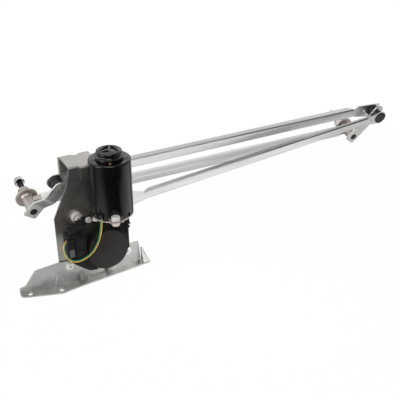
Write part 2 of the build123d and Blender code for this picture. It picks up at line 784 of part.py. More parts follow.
# Drive rod: a rear-open channel, closed into a box towards the right, flat at both eyes
box_start = drive_length * (1 - drive_box_share)
box_end = drive_length - drive_right_flat
with BuildPart() as drive_rod:
    with BuildSketch(rod_section_plane(drive_plane, drive_flat_length)):
        with BuildLine():
            Polyline(
                (-drive_height / 2, -drive_flange), (-drive_height / 2, 0),
                (drive_height / 2, 0), (drive_height / 2, -drive_flange),
                (drive_height / 2 - drive_sheet, -drive_flange),
                (drive_height / 2 - drive_sheet, -drive_sheet),
                (-drive_height / 2 + drive_sheet, -drive_sheet),
                (-drive_height / 2 + drive_sheet, -drive_flange), close=True,
            )
        make_face()
    extrude(amount=box_start - drive_flat_length)
    bends = drive_rod.edges().filter_by(Axis(origin=(0, 0, 0), direction=drive_plane.x_dir))
    fillet(bends.group_by(Axis(drive_plane.origin, drive_plane.z_dir))[-1], drive_bend)
    with BuildSketch(rod_section_plane(drive_plane, box_start)):
        with Locations((0, -drive_flange / 2)):
            RectangleRounded(drive_box_height, drive_flange, drive_flange * 0.4)
            RectangleRounded(
                drive_box_height - 2 * drive_sheet, drive_flange - 2 * drive_sheet, 1.2,
                mode=Mode.SUBTRACT,
            )
    extrude(amount=box_end - box_start)
    with BuildSketch(Plane(origin=drive_plane.origin, x_dir=drive_plane.x_dir, z_dir=-drive_plane.y_dir)):
        with BuildLine():
            Polyline(
                (drive_flat_length, -drive_flange - 1), (drive_flat_length + 16, -drive_flange - 1),
                (drive_flat_length, -drive_sheet - 0.5), close=True,
            )
        make_face()
    extrude(amount=drive_height, both=True, mode=Mode.SUBTRACT)
    drive_web_half = drive_height / 2 - drive_bend
    with BuildSketch(drive_plane.offset(-drive_sheet)):
        with BuildLine():
            Polyline(
                (0, drive_eye_radius), (drive_flare_start, drive_flare_rise),
                (drive_flat_length - 2, drive_height / 2), (drive_flat_length, drive_web_half),
                (drive_flat_length + 8, drive_web_half), (drive_flat_length + 8, -drive_web_half),
                (drive_flat_length, -drive_web_half), (drive_flat_length - 2, -drive_height / 2),
                (drive_flare_start, -drive_flare_drop), (0, -drive_eye_radius), close=True,
            )
        make_face()
        with BuildLine():
            Polyline(
                (box_end - 12, drive_box_height / 2 - 3.5), (drive_length, coupling_eye_radius),
                (drive_length, -coupling_eye_radius), (box_end - 12, -drive_box_height / 2 + 3.5),
                close=True,
            )
        make_face()
        Circle(drive_eye_radius)
        Circle(eye_hole_radius, mode=Mode.SUBTRACT)
        with Locations((drive_length, 0)):
            Circle(coupling_eye_radius)
            Circle(eye_hole_radius, mode=Mode.SUBTRACT)
        with Locations((drive_length - drive_right_flat * 0.66, 0)):
            SlotOverall(7, 2.6, mode=Mode.SUBTRACT)
    extrude(amount=drive_sheet)
drive_rod.part.label = "drive_rod"
export_step(drive_rod.part, "parts/drive_rod.step")

# Main bracket: face, top web and rear flange bent from one sheet, welded to the tube
bracket_rear_y = place(0, 0, tube_depth).Y - tube_radius
face_rear_y = bracket_face_y + bracket_sheet
lug_points = [
    (crank_x + mount_bolt_circle * cos(radians(a)), gear_z + mount_bolt_circle * sin(radians(a)))
    for a in mount_bolt_angles
]
bend_middle = bracket_bend - bracket_sheet / 2
web_middle_z = bracket_top_z - bracket_sheet / 2
with BuildPart() as main_bracket:
    # The bent strip: down the face, over the top and down the rear flange
    with BuildSketch(Plane.YZ.offset(bracket_waist_x)):
        with BuildLine():
            FilletPolyline(
                (bracket_face_y + bracket_sheet / 2, bracket_bottom_z),
                (bracket_face_y + bracket_sheet / 2, web_middle_z),
                (bracket_rear_y - bracket_sheet / 2, web_middle_z),
                (bracket_rear_y - bracket_sheet / 2, bracket_rear_bottom_z),
                radius=bend_middle,
            )
        trace(line_width=bracket_sheet)
    extrude(amount=bracket_right_x - bracket_waist_x)
    # Face trimmed along its slanting left edge
    face_trim_y = face_rear_y + 2 * bracket_bend
    with BuildSketch(Plane.XZ.offset(-face_trim_y)):
        with BuildLine():
            Polyline(
                (bracket_waist_x - 5, bracket_top_z + 5), (bracket_top_left_x, bracket_top_z + 5),
                (bracket_top_left_x, bracket_top_z), (bracket_top_left_x - 7, bracket_top_z - 34),
                (bracket_waist_x, bracket_waist_z), (bracket_waist_x + 1.5, bracket_bottom_z - 1),
                (bracket_waist_x - 5, bracket_bottom_z - 1), close=True,
            )
        make_face()
    extrude(amount=face_trim_y - bracket_face_y + 1, mode=Mode.SUBTRACT)
    # Top web and rear flange trimmed from above
    with BuildSketch(Plane.XY.offset(bracket_top_z + 1)):
        with BuildLine():
            Polyline(
                (bracket_waist_x - 5, face_trim_y), (bracket_top_left_x, face_trim_y),
                (bracket_rear_left_x, bracket_rear_y - bracket_bend),
                (bracket_rear_left_x, bracket_rear_y + 1), (bracket_waist_x - 5, bracket_rear_y + 1),
                close=True,
            )
        make_face()
        with BuildLine():
            Polyline(
                (bracket_rear_right_x, bracket_rear_y + 1), (bracket_rear_right_x, bracket_rear_y - 20),
                (bracket_right_x + 1, bracket_rear_y - 30), (bracket_right_x + 1, bracket_rear_y + 1),
                close=True,
            )
        make_face()
    extrude(amount=bracket_rear_bottom_z - bracket_top_z - 2, mode=Mode.SUBTRACT)
    # Holes for the output boss, the gearbox screws and the foot bolts
    with BuildSketch(Plane.XZ.offset(-face_rear_y)):
        with Locations((crank_x, gear_z)):
            Circle(output_boss_diameter / 2 + 1)
        with Locations(*lug_points):
            Circle(mount_bolt_diameter / 2 + running_clearance)
        with Locations(*[(x, foot_bolt_z) for x in foot_bolt_xs]):
            Circle(foot_bolt_shank + running_clearance)
    extrude(amount=bracket_sheet, mode=Mode.SUBTRACT)
    # Round relief between the two bumps of the rear edge
    with BuildSketch(Plane.XY.offset(bracket_top_z + 1)):
        with Locations((bracket_dip_x, bracket_rear_y)):
            Circle(bracket_dip_radius)
    extrude(amount=-bracket_bend * 3, mode=Mode.SUBTRACT)
    # Lip turned back along the rear flange's left edge
    with BuildSketch(Plane.XY.offset(bracket_lip_bottom_z)):
        with Locations((bracket_rear_left_x, bracket_rear_y)):
            Rectangle(bracket_sheet, bracket_lip_depth, align=(Align.MIN, Align.MIN))
    extrude(amount=bracket_top_z - bracket_bend - bracket_lip_bottom_z)
    # Tongue bent down in front of the face
    tongue_front = bracket_face_y - tab_stand_off - bracket_sheet
    with BuildSketch(Plane.YZ.offset(tab_x - tab_width / 2)):
        with BuildLine():
            FilletPolyline(
                (face_trim_y, web_middle_z), (tongue_front + bracket_sheet / 2, web_middle_z),
                (tongue_front + bracket_sheet / 2, bracket_top_z - tab_drop), radius=bend_middle,
            )
        trace(line_width=bracket_sheet)
    extrude(amount=tab_width)
main_bracket.part.label = "main_bracket"
export_step(main_bracket.part, "parts/main_bracket.step")

# Foot plate: an angle bolted to the bracket's face, stiffened by pressed gussets
foot_rear_y = bracket_face_y
foot_web_y = foot_rear_y - foot_sheet
foot_front_y = foot_web_y - foot_flange_reach
foot_sink_z = foot_bolt_z - foot_bolt_flats
with BuildPart() as foot_plate:
    with BuildSketch(Plane.XZ.offset(-foot_rear_y)):
        with BuildLine():
            Polyline(
                (foot_left_x, foot_flange_z - foot_sheet), (foot_left_x, foot_flange_z + 12),
                (foot_left_x + 12, foot_flange_z + 14), (foot_left_x + 33, foot_top_z - 4),
                (bracket_waist_x, foot_top_z), (bracket_waist_x + 32, foot_top_z - 3),
                (bracket_waist_x + 44, foot_sink_z), (foot_web_right_x - 38, foot_sink_z),
                (foot_web_right_x - 27, foot_top_z + 1), (foot_web_right_x - 3, foot_top_z + 1),
                (foot_web_right_x, foot_flange_z - foot_sheet), close=True,
            )
        make_face()
        with Locations(*[(x, foot_bolt_z) for x in foot_bolt_xs]):
            Circle(foot_bolt_shank + running_clearance, mode=Mode.SUBTRACT)
    extrude(amount=foot_sheet)
    with BuildSketch(Plane.XY.offset(foot_flange_z - foot_sheet)):
        with BuildLine():
            Polyline(
                (foot_left_x, foot_rear_y), (foot_left_x, foot_web_y - 8),
                (foot_left_x + 5, foot_web_y - 12), (5, foot_front_y + 4), (18, foot_front_y),
                (55, foot_front_y + 6), (120, foot_front_y + 12),
                (foot_flange_right_x, foot_web_y - 11), (foot_flange_right_x, foot_rear_y), close=True,
            )
        make_face()
        with Locations(*[(x, foot_web_y - r) for x, r in zip(foot_hole_xs, foot_hole_reaches)]):
            Circle(foot_hole_diameter / 2, mode=Mode.SUBTRACT)
    extrude(amount=foot_sheet)
    # Upturned tab at the right end
    with BuildSketch(Plane.XZ.offset(-foot_rear_y)):
        with BuildLine():
            Polyline(
                (foot_web_right_x + 3, foot_flange_z - 1), (foot_web_right_x + 14, foot_flange_z - 1),
                (foot_web_right_x + 7, foot_flange_z + 8), (foot_web_right_x + 5, foot_flange_z + 25),
                (foot_web_right_x + 3, foot_flange_z + 27), close=True,
            )
        make_face()
    extrude(amount=foot_sheet)
    for gusset_x, width, reach, height in zip(gusset_xs, gusset_widths, gusset_reaches, gusset_heights):
        with BuildSketch(Plane.XY.offset(foot_flange_z)) as gusset_base:
            with Locations((gusset_x, foot_web_y)):
                Rectangle(width, reach, align=(Align.CENTER, Align.MAX))
        loft(sections=[gusset_base.sketch.face(), Vertex(gusset_x, foot_web_y, foot_flange_z + height)])
foot_plate.part.label = "foot_plate"
export_step(foot_plate.part, "parts/foot_plate.step")

# Bolts through the foot plate and the bracket, with their nuts behind
foot_bolt = bolt_body(foot_bolt_flats, 5.0, foot_bolt_shank, foot_sheet + bracket_sheet + 7, 9.0)
foot_nut = nut_body(foot_bolt_flats, 6.0, foot_bolt_shank)
forward = Vector(0, -1, 0)
with BuildPart() as foot_bolts:
    with Locations(*[
        Plane(origin=(x, foot_web_y, foot_bolt_z), x_dir=along, z_dir=forward).location
        for x in foot_bolt_xs
    ]):
        add(foot_bolt)
foot_bolts.part.label = "foot_bolts"
export_step(foot_bolts.part, "parts/foot_bolts.step")

with BuildPart() as foot_nuts:
    with Locations(*[
        Plane(origin=(x, face_rear_y, foot_bolt_z), x_dir=along, z_dir=-forward).location
        for x in foot_bolt_xs
    ]):
        add(foot_nut)
foot_nuts.part.label = "foot_nuts"
export_step(foot_nuts.part, "parts/foot_nuts.step")

# Motor can: drawn cup with a bearing boss, notched at its rim
can_radius = can_diameter / 2
motor_axis = Axis(origin=(motor_x, motor_y, 0), direction=(0, 0, 1))
motor_section = Plane(origin=(motor_x, motor_y, 0), x_dir=along, z_dir=forward)
shaft_radius = armature_shaft_diameter / 2
bearing_radius = shaft_radius + 4
boss_radius = can_boss_diameter / 2
with BuildPart() as motor_can:
    with BuildSketch(motor_section):
        with BuildLine():
            Polyline(
                (can_radius - can_wall, can_bottom_z), (can_radius, can_bottom_z),
                (can_radius, can_top_z), (boss_radius, can_top_z),
                (boss_radius, can_top_z + can_boss_height),
                (bearing_radius, can_top_z + can_boss_height),
                (bearing_radius, can_top_z + can_boss_height - can_wall - 5),
                (boss_radius - can_wall, can_top_z + can_boss_height - can_wall - 5),
                (boss_radius - can_wall, can_top_z - can_wall),
                (can_radius - can_wall, can_top_z - can_wall), close=True,
            )
        make_face()
    revolve(axis=motor_axis)
    shoulder = motor_can.edges().filter_by(GeomType.CIRCLE).filter_by(lambda e: e.radius > can_radius - 0.1)
    fillet(shoulder.sort_by(Axis.Z)[-1], can_shoulder)
    # Bayonet notch at the rim and relief above the front bolt
    with BuildSketch(Plane(origin=(motor_x, motor_y, can_bottom_z), x_dir=along)):
        with PolarLocations(can_radius, 1, start_angle=-62):
            Rectangle(10, 7)
    extrude(amount=9, mode=Mode.SUBTRACT)
    with BuildSketch(Plane(origin=(motor_x, motor_y, can_bottom_z), x_dir=along)):
        for bolt_angle in motor_bolt_angles:
            with PolarLocations(motor_bolt_circle, 1, start_angle=bolt_angle):
                Circle(motor_lug_radius + side_gap)
    extrude(amount=motor_lug_rise + motor_bolt_head + side_gap, mode=Mode.SUBTRACT)
motor_can.part.label = "motor_can"
export_step(motor_can.part, "parts/motor_can.step")

# Rubber cap over the top bearing, with three pockets round its centre
cap_bottom_z = can_top_z + can_boss_height
cap_radius = cap_diameter / 2
cap_top_radius = cap_top_diameter / 2
with BuildPart() as motor_cap:
    with BuildSketch(motor_section):
        with BuildLine():
            Polyline(
                (0, cap_bottom_z), (cap_radius, cap_bottom_z), (cap_radius, cap_bottom_z + 1.8),
                (cap_neck_diameter / 2 + 1, cap_bottom_z + 4), (cap_neck_diameter / 2, cap_bottom_z + 5.5),
                (cap_neck_diameter / 2, cap_bottom_z + 7.5), (cap_top_radius, cap_bottom_z + 8.5),
                (cap_top_radius, cap_bottom_z + cap_height - 3),
                (cap_top_radius - 2, cap_bottom_z + cap_height - 1),
                (cap_top_radius - 6, cap_bottom_z + cap_height), (0, cap_bottom_z + cap_height), close=True,
            )
        make_face()
    revolve(axis=motor_axis)
    with BuildSketch(Plane(origin=(motor_x, motor_y, cap_bottom_z + cap_height), x_dir=along)):
        Circle(cap_recess_diameter / 2)
        with PolarLocations(0, 3, start_angle=90):
            Rectangle(cap_recess_diameter, cap_spoke, align=(Align.MIN, Align.CENTER), mode=Mode.SUBTRACT)
        Circle(cap_spoke, mode=Mode.SUBTRACT)
    extrude(amount=-cap_recess_depth, mode=Mode.SUBTRACT)
    with BuildSketch(Plane(origin=(motor_x, motor_y, cap_bottom_z), x_dir=along)):
        Circle(bearing_radius)
    extrude(amount=2, mode=Mode.SUBTRACT)
motor_cap.part.label = "motor_cap"
export_step(motor_cap.part, "parts/motor_cap.step")

# Inside the can: bearing, magnets, brush plate and brushes
bearing_bottom_z = can_top_z + can_boss_height - can_wall - 5
with BuildPart() as motor_bearing:
    with BuildSketch(Plane(origin=(motor_x, motor_y, bearing_bottom_z), x_dir=along)):
        Circle(bearing_radius)
        Circle(shaft_radius + running_clearance, mode=Mode.SUBTRACT)
    extrude(amount=can_wall + 5)
motor_bearing.part.label = "motor_bearing"
export_step(motor_bearing.part, "parts/motor_bearing.step")

magnet_inner = core_diameter / 2 + magnet_gap
magnet_outer = can_radius - can_wall
with BuildPart() as field_magnets:
    with BuildSketch(Plane(origin=(motor_x, motor_y, magnet_bottom_z), x_dir=along)):
        Circle(magnet_outer)
        Circle(magnet_inner, mode=Mode.SUBTRACT)
        Rectangle(2 * can_radius, can_radius * 0.9, mode=Mode.SUBTRACT)
    extrude(amount=magnet_length)
field_magnets.part.label = "field_magnets"
export_step(field_magnets.part, "parts/field_magnets.step")

commutator_radius = commutator_diameter / 2
brush_plate_top = brush_plate_z + brush_plate_thickness
with BuildPart() as brush_plate:
    with BuildSketch(Plane(origin=(motor_x, motor_y, brush_plate_z), x_dir=along)):
        Circle(magnet_outer)
        Circle(commutator_radius + 3, mode=Mode.SUBTRACT)
        for bolt_angle in motor_bolt_angles:
            with PolarLocations(motor_bolt_circle, 1, start_angle=bolt_angle):
                Circle(motor_lug_radius + side_gap, mode=Mode.SUBTRACT)
    extrude(amount=brush_plate_thickness)
brush_plate.part.label = "brush_plate"
export_step(brush_plate.part, "parts/brush_plate.step")

with BuildPart() as brushes:
    with BuildSketch(Plane(origin=(motor_x, motor_y, brush_plate_top), x_dir=along)):
        with PolarLocations(commutator_radius + side_gap, 2):
            Rectangle(brush_length, brush_width, align=(Align.MIN, Align.CENTER))
    extrude(amount=brush_height)
brushes.part.label = "brushes"
export_step(brushes.part, "parts/brushes.step")

# Armature: shaft with its worm, slotted core and commutator
worm_radius = worm_diameter / 2
shaft_top_z = cap_bottom_z + 1
worm_bottom_z = gear_z - worm_length / 2
shaft_bottom_z = worm_bottom_z - 6
with BuildPart() as armature_shaft:
    with BuildSketch(motor_section):
        with BuildLine():
            Polyline(
                (0, shaft_bottom_z), (shaft_radius, shaft_bottom_z),
                (shaft_radius, worm_bottom_z), (worm_radius, worm_bottom_z + 1.5),
                (worm_radius, gear_z + worm_length / 2 - 1.5), (shaft_radius, gear_z + worm_length / 2),
                (shaft_radius, shaft_top_z), (0, shaft_top_z), close=True,
            )
        make_face()
    revolve(axis=motor_axis)
armature_shaft.part.label = "armature_shaft"
export_step(armature_shaft.part, "parts/armature_shaft.step")

with BuildPart() as armature_core:
    with BuildSketch(Plane(origin=(motor_x, motor_y, core_bottom_z), x_dir=along)):
        Circle(core_diameter / 2)
        with PolarLocations(core_diameter / 2 - 5, core_slots):
            Rectangle(12, 4, mode=Mode.SUBTRACT)
        Circle(shaft_radius, mode=Mode.SUBTRACT)
    extrude(amount=core_length)
armature_core.part.label = "armature_core"
export_step(armature_core.part, "parts/armature_core.step")

with BuildPart() as commutator:
    with BuildSketch(Plane(origin=(motor_x, motor_y, commutator_bottom_z), x_dir=along)):
        Circle(commutator_radius)
        Circle(shaft_radius, mode=Mode.SUBTRACT)
    extrude(amount=commutator_length)
commutator.part.label = "commutator"
export_step(commutator.part, "parts/commutator.step")

# Gearbox casting: motor flange, worm tube, wheel chamber and three arms on the bracket
flange_bottom_z = can_bottom_z - motor_flange_thickness
wheel_y = motor_y
bush_outer_radius = output_shaft_diameter / 2 + output_bush_wall
chamber_front_y = wheel_y - wheel_width / 2 - side_gap
chamber_rear_y = wheel_y + wheel_width / 2 + side_gap
mount_front_y = bracket_face_y - mount_plate_thickness
with BuildPart() as gearbox_housing:
    with BuildSketch(Plane.XZ.offset(-bracket_face_y)):
        with Locations((crank_x, gear_z)):
            Circle(chamber_radius)
        for lug_x, lug_z in lug_points:
            with BuildLine():
                edge = Line((crank_x, gear_z), (lug_x, lug_z))
            trace(edge, line_width=2 * mount_lug_radius - 4)
            with Locations((lug_x, lug_z)):
                Circle(mount_lug_radius)
        with Locations(*lug_points):
            Circle(mount_bolt_diameter / 2 + running_clearance, mode=Mode.SUBTRACT)
    extrude(amount=mount_plate_thickness)
    with BuildSketch(Plane.XZ.offset(-mount_front_y)):
        with Locations((crank_x, gear_z)):
            Circle(chamber_radius)
    extrude(amount=mount_front_y - chamber_front_y)
    with BuildSketch(Plane.XZ.offset(-bracket_face_y)):
        with Locations((crank_x, gear_z)):
            Circle(output_boss_diameter / 2)
    extrude(amount=-bracket_sheet - 0.5)
    with BuildSketch(Plane(origin=(motor_x, motor_y, worm_tube_bottom_z), x_dir=along)):
        Circle(worm_tube_diameter / 2)
    extrude(amount=flange_bottom_z - worm_tube_bottom_z)
    with BuildSketch(Plane(origin=(motor_x, motor_y, flange_bottom_z), x_dir=along)):
        Circle(can_radius - 0.5)
        for bolt_angle in motor_bolt_angles:
            with PolarLocations(can_radius, 1, start_angle=bolt_angle):
                Rectangle(motor_bolt_circle - can_radius + 16, 2 * motor_lug_radius)
        with PolarLocations(can_radius, 1, start_angle=196):
            Circle(motor_lug_radius * 0.6)
    extrude(amount=motor_flange_thickness)
    with BuildSketch(Plane(origin=(motor_x, motor_y, can_bottom_z - motor_lug_drop), x_dir=along)):
        for bolt_angle in motor_bolt_angles:
            with PolarLocations(motor_bolt_circle, 1, start_angle=bolt_angle):
                Circle(motor_lug_radius)
    extrude(amount=motor_lug_drop + motor_lug_rise)
    # Wheel chamber, worm bore, shaft bore and bolt holes
    with BuildSketch(Plane.XZ.offset(-chamber_rear_y)):
        with Locations((crank_x, gear_z)):
            Circle(chamber_radius - chamber_wall)
    extrude(amount=chamber_rear_y - chamber_front_y, mode=Mode.SUBTRACT)
    with BuildSketch(Plane(origin=(motor_x, motor_y, worm_bottom_z - 1), x_dir=along)):
        Circle(worm_radius + side_gap)
    extrude(amount=can_bottom_z - worm_bottom_z + 1, mode=Mode.SUBTRACT)
    with BuildSketch(Plane(origin=(motor_x, motor_y, shaft_bottom_z - 1), x_dir=along)):
        Circle(shaft_radius + running_clearance)
    extrude(amount=worm_bottom_z - shaft_bottom_z + 1, mode=Mode.SUBTRACT)
    with BuildSketch(Plane.XZ.offset(-face_rear_y - 2)):
        with Locations((crank_x, gear_z)):
            Circle(bush_outer_radius)
    extrude(amount=face_rear_y + 2 - chamber_rear_y, mode=Mode.SUBTRACT)
    with BuildSketch(Plane(origin=(motor_x, motor_y, can_bottom_z + motor_lug_rise), x_dir=along)):
        for bolt_angle in motor_bolt_angles:
            with PolarLocations(motor_bolt_circle, 1, start_angle=bolt_angle):
                Circle(motor_bolt_diameter / 2 + running_clearance)
    extrude(amount=-motor_lug_rise - motor_lug_drop, mode=Mode.SUBTRACT)
gearbox_housing.part.label = "gearbox_housing"
export_step(gearbox_housing.part, "parts/gearbox_housing.step")

with BuildPart() as output_bush:
    with BuildSketch(Plane.XZ.offset(-chamber_rear_y)):
        with Locations((crank_x, gear_z)):
            Circle(bush_outer_radius)
            Circle(output_shaft_diameter / 2 + running_clearance, mode=Mode.SUBTRACT)
    extrude(amount=chamber_rear_y - face_rear_y - 0.5)
output_bush.part.label = "output_bush"
export_step(output_bush.part, "parts/output_bush.step")

motor_bolt = bolt_body(
    motor_bolt_flats, motor_bolt_head, motor_bolt_diameter / 2, motor_lug_rise + motor_lug_drop,
    motor_bolt_flats * 0.62,
)
with BuildPart() as motor_bolts:
    with Locations(*[
        (motor_x + motor_bolt_circle * cos(radians(a)), motor_y + motor_bolt_circle * sin(radians(a)),
         can_bottom_z + motor_lug_rise)
        for a in motor_bolt_angles
    ]):
        add(motor_bolt)
motor_bolts.part.label = "motor_bolts"
export_step(motor_bolts.part, "parts/motor_bolts.step")

mount_bolt = bolt_body(
    mount_bolt_flats, mount_bolt_head, mount_bolt_diameter / 2, mount_plate_thickness + bracket_sheet,
    mount_bolt_flats * 0.65,
)
with BuildPart() as mount_bolts:
    with Locations(*[
        Plane(origin=(x, mount_front_y, z), x_dir=along, z_dir=forward).location for x, z in lug_points
    ]):
        add(mount_bolt)
mount_bolts.part.label = "mount_bolts"
export_step(mount_bolts.part, "parts/mount_bolts.step")

# Worm wheel and output shaft, on the crank's body
wheel_radius = gear_center_distance - worm_radius - side_gap
shaft_front_y = chamber_front_y + side_gap / 2
crank_front_y = face_rear_y + crank_gap
crank_rear_y = crank_front_y + crank_thickness
output_radius = output_shaft_diameter / 2
with BuildPart() as worm_wheel:
    with BuildSketch(Plane.XZ.offset(-wheel_y + wheel_width / 2)):
        with Locations((crank_x, gear_z)):
            Circle(wheel_radius)
            Circle(output_radius, mode=Mode.SUBTRACT)
            with PolarLocations(wheel_radius, wheel_teeth):
                Rectangle(2 * tooth_depth, pi * wheel_radius / wheel_teeth, mode=Mode.SUBTRACT)
    extrude(amount=-wheel_width)
worm_wheel.part.label = "worm_wheel"
export_step(worm_wheel.part, "parts/worm_wheel.step")

with BuildPart() as output_shaft:
    with BuildSketch(Plane.XZ.offset(-shaft_front_y)):
        with Locations((crank_x, gear_z)):
            Circle(output_radius)
    extrude(amount=shaft_front_y - crank_rear_y - crank_nut_height)
output_shaft.part.label = "output_shaft"
export_step(output_shaft.part, "parts/output_shaft.step")

# Crank arm with its pin, held on the shaft by a nut
crank_plane = Plane(
    origin=(crank_x, crank_front_y, gear_z),
    x_dir=Vector(cos(crank_angle), 0, sin(crank_angle)), z_dir=-forward,
)
with BuildPart() as crank_arm:
    with BuildSketch(crank_plane):
        with BuildLine():
            Polyline(
                (0, crank_hub_radius), (crank_throw, crank_end_radius),
                (crank_throw, -crank_end_radius), (0, -crank_hub_radius), close=True,
            )
        make_face()
        Circle(crank_hub_radius)
        with Locations((crank_throw, 0)):
            Circle(crank_end_radius)
            Circle(crank_pin_diameter / 2 - 1, mode=Mode.SUBTRACT)
        Circle(output_radius, mode=Mode.SUBTRACT)
    extrude(amount=crank_thickness)
crank_arm.part.label = "crank_arm"
export_step(crank_arm.part, "parts/crank_arm.step")

with BuildPart() as crank_pin:
    with BuildSketch(crank_plane):
        with Locations((crank_throw, 0)):
            Circle(crank_pin_diameter / 2 - 1)
    extrude(amount=crank_thickness)
    with BuildSketch(crank_plane.offset(crank_thickness)):
        with Locations((crank_throw, 0)):
            Circle(crank_pin_diameter / 2)
    extrude(amount=crank_pin_height)
crank_pin.part.label = "crank_pin"
export_step(crank_pin.part, "parts/crank_pin.step")

crank_nut_body = nut_body(crank_nut_flats, crank_nut_height, output_radius)
with BuildPart() as crank_nut:
    with Locations(crank_plane.offset(crank_thickness).location):
        add(crank_nut_body)
crank_nut.part.label = "crank_nut"
export_step(crank_nut.part, "parts/crank_nut.step")

# Black cover over the gearbox front: a round drum on a larger stepped base
step = 6.5
base_outline = (
    (cover_left_x, cover_top_z - 2.6 * step), (cover_left_x + step, cover_top_z - 2.6 * step),
    (cover_left_x + step, cover_top_z - 1.6 * step), (cover_left_x + 2.2 * step, cover_top_z - 1.6 * step),
    (cover_left_x + 2.2 * step, cover_top_z - 0.6 * step), (cover_left_x + 3.6 * step, cover_top_z - 0.6 * step),
    (cover_left_x + 3.6 * step, cover_top_z), (cover_bolt_x + cover_bolt_flats, cover_top_z),
    (cover_bolt_x + cover_bolt_flats, cover_top_z + cover_raise),
    (cover_right_x - 12, cover_top_z + cover_raise), (cover_right_x - 6, cover_top_z - 3),
    (cover_right_x, cover_top_z - 8), (cover_right_x, gear_z - 15),
    (cover_right_x - 12, gear_z - 21), (crank_x, gear_z - cover_radius + 2),
    (cover_left_x + 22, gear_z - 12), (cover_left_x, gear_z - 8),
)
with BuildPart() as gearbox_cover:
    with BuildSketch(Plane.XZ.offset(-cover_rear_y)):
        with BuildLine():
            Polyline(*base_outline, close=True)
        make_face()
    extrude(amount=cover_rear_y - cover_step_y)
    with BuildSketch(Plane.XZ.offset(-cover_rear_y)):
        with Locations((crank_x, gear_z)):
            Circle(cover_radius)
    extrude(amount=cover_rear_y - cover_front_y)
    drum_edge = gearbox_cover.edges().filter_by(GeomType.CIRCLE).sort_by(Axis.Y)[0]
    fillet(drum_edge, 1.5)
    with BuildSketch(Plane.XZ.offset(-cover_rear_y)):
        with Locations((crank_x, gear_z)):
            Circle(cover_radius - cover_wall)
    extrude(amount=cover_rear_y - cover_front_y - cover_wall, mode=Mode.SUBTRACT)
    # Room for the worm tube from above and below
    cover_high_z = cover_top_z + cover_raise
    with BuildSketch(Plane.XY.offset(cover_high_z)):
        with Locations((motor_x, motor_y)):
            Circle(worm_tube_diameter / 2 + side_gap)
        with Locations((motor_x, motor_y)):
            Rectangle(
                worm_tube_diameter + 2 * side_gap, cover_rear_y - motor_y + 1,
                align=(Align.CENTER, Align.MIN),
            )
    extrude(amount=worm_tube_bottom_z - cover_high_z - side_gap, mode=Mode.SUBTRACT)
    with BuildSketch(Plane.XY.offset(cover_top_z)):
        with Locations((cover_bolt_x, motor_y)):
            Circle(motor_bolt_diameter / 2 + running_clearance)
    extrude(amount=-cover_bolt_length, mode=Mode.SUBTRACT)
    # Cooling ribs on the upper right shoulder
    with BuildSketch(Plane.XZ.offset(-cover_step_y)):
        with Locations(*[(cover_right_x - 26 + 5 * i, cover_top_z - 9 - 2.2 * i) for i in range(4)]):
            Rectangle(2.2, 12)
    extrude(amount=3)
gearbox_cover.part.label = "gearbox_cover"
export_step(gearbox_cover.part, "parts/gearbox_cover.step")

cover_bolt = bolt_body(
    cover_bolt_flats, cover_bolt_head, motor_bolt_diameter / 2, cover_bolt_length, cover_bolt_flats * 0.7
)
with BuildPart() as cover_screw:
    with Locations((cover_bolt_x, motor_y, cover_top_z)):
        add(cover_bolt)
cover_screw.part.label = "cover_screw"
export_step(cover_screw.part, "parts/cover_screw.step")

# Connector block at the cover's left and its grey latch
connector_front_y = cover_front_y
connector_height = connector_top_z - connector_bottom_z
with BuildPart() as connector_block:
    with BuildSketch(Plane.XZ.offset(-cover_step_y)):
        with BuildLine():
            Polyline(
                (connector_left_x, connector_top_z), (connector_right_x, connector_top_z),
                (connector_right_x, connector_bottom_z - 2), (connector_left_x + 9, connector_bottom_z),
                (connector_left_x, connector_bottom_z + 12), close=True,
            )
        make_face()
        with Locations((crank_x, gear_z)):
            Circle(cover_radius + side_gap / 4, mode=Mode.SUBTRACT)
    extrude(amount=cover_step_y - connector_front_y)
    with BuildSketch(Plane.XZ.offset(-connector_front_y)):
        with Locations((connector_left_x + 13, connector_bottom_z + 14)):
            Rectangle(1.6, connector_height - 17, align=(Align.CENTER, Align.MIN))
        with Locations((connector_left_x + 13, connector_bottom_z + connector_height * 0.55)):
            Rectangle(15, 1.6, align=(Align.MIN, Align.CENTER))
    extrude(amount=-1.2, mode=Mode.SUBTRACT)
connector_block.part.label = "connector_block"
export_step(connector_block.part, "parts/connector_block.step")

with BuildPart() as connector_latch:
    with BuildSketch(Plane.XZ.offset(-connector_front_y)):
        with Locations((connector_left_x + 1.5, connector_bottom_z + 15)):
            Rectangle(connector_tab_width, connector_tab_height, align=(Align.MIN, Align.MIN))
    extrude(amount=2.2)
connector_latch.part.label = "connector_latch"
export_step(connector_latch.part, "parts/connector_latch.step")

# Grommet at the can's rim and the two wires to the connector
grommet_angle = -140.5
grommet_way = Vector(cos(radians(grommet_angle)), sin(radians(grommet_angle)), 0)
grommet_plane = Plane(
    origin=Vector(motor_x, motor_y, can_bottom_z + 7) + grommet_way * can_radius,
    x_dir=Vector(-grommet_way.Y, grommet_way.X, 0), z_dir=Vector(0, 0, 1),
)
with BuildPart() as wire_grommet:
    with BuildSketch(grommet_plane):
        with Locations((0, -0.6)):
            Rectangle(grommet_length, 5.2, align=(Align.CENTER, Align.MAX))
        with Locations((0, can_radius)):
            Circle(can_radius, mode=Mode.SUBTRACT)
    extrude(amount=6)
wire_grommet.part.label = "wire_grommet"
export_step(wire_grommet.part, "parts/wire_grommet.step")

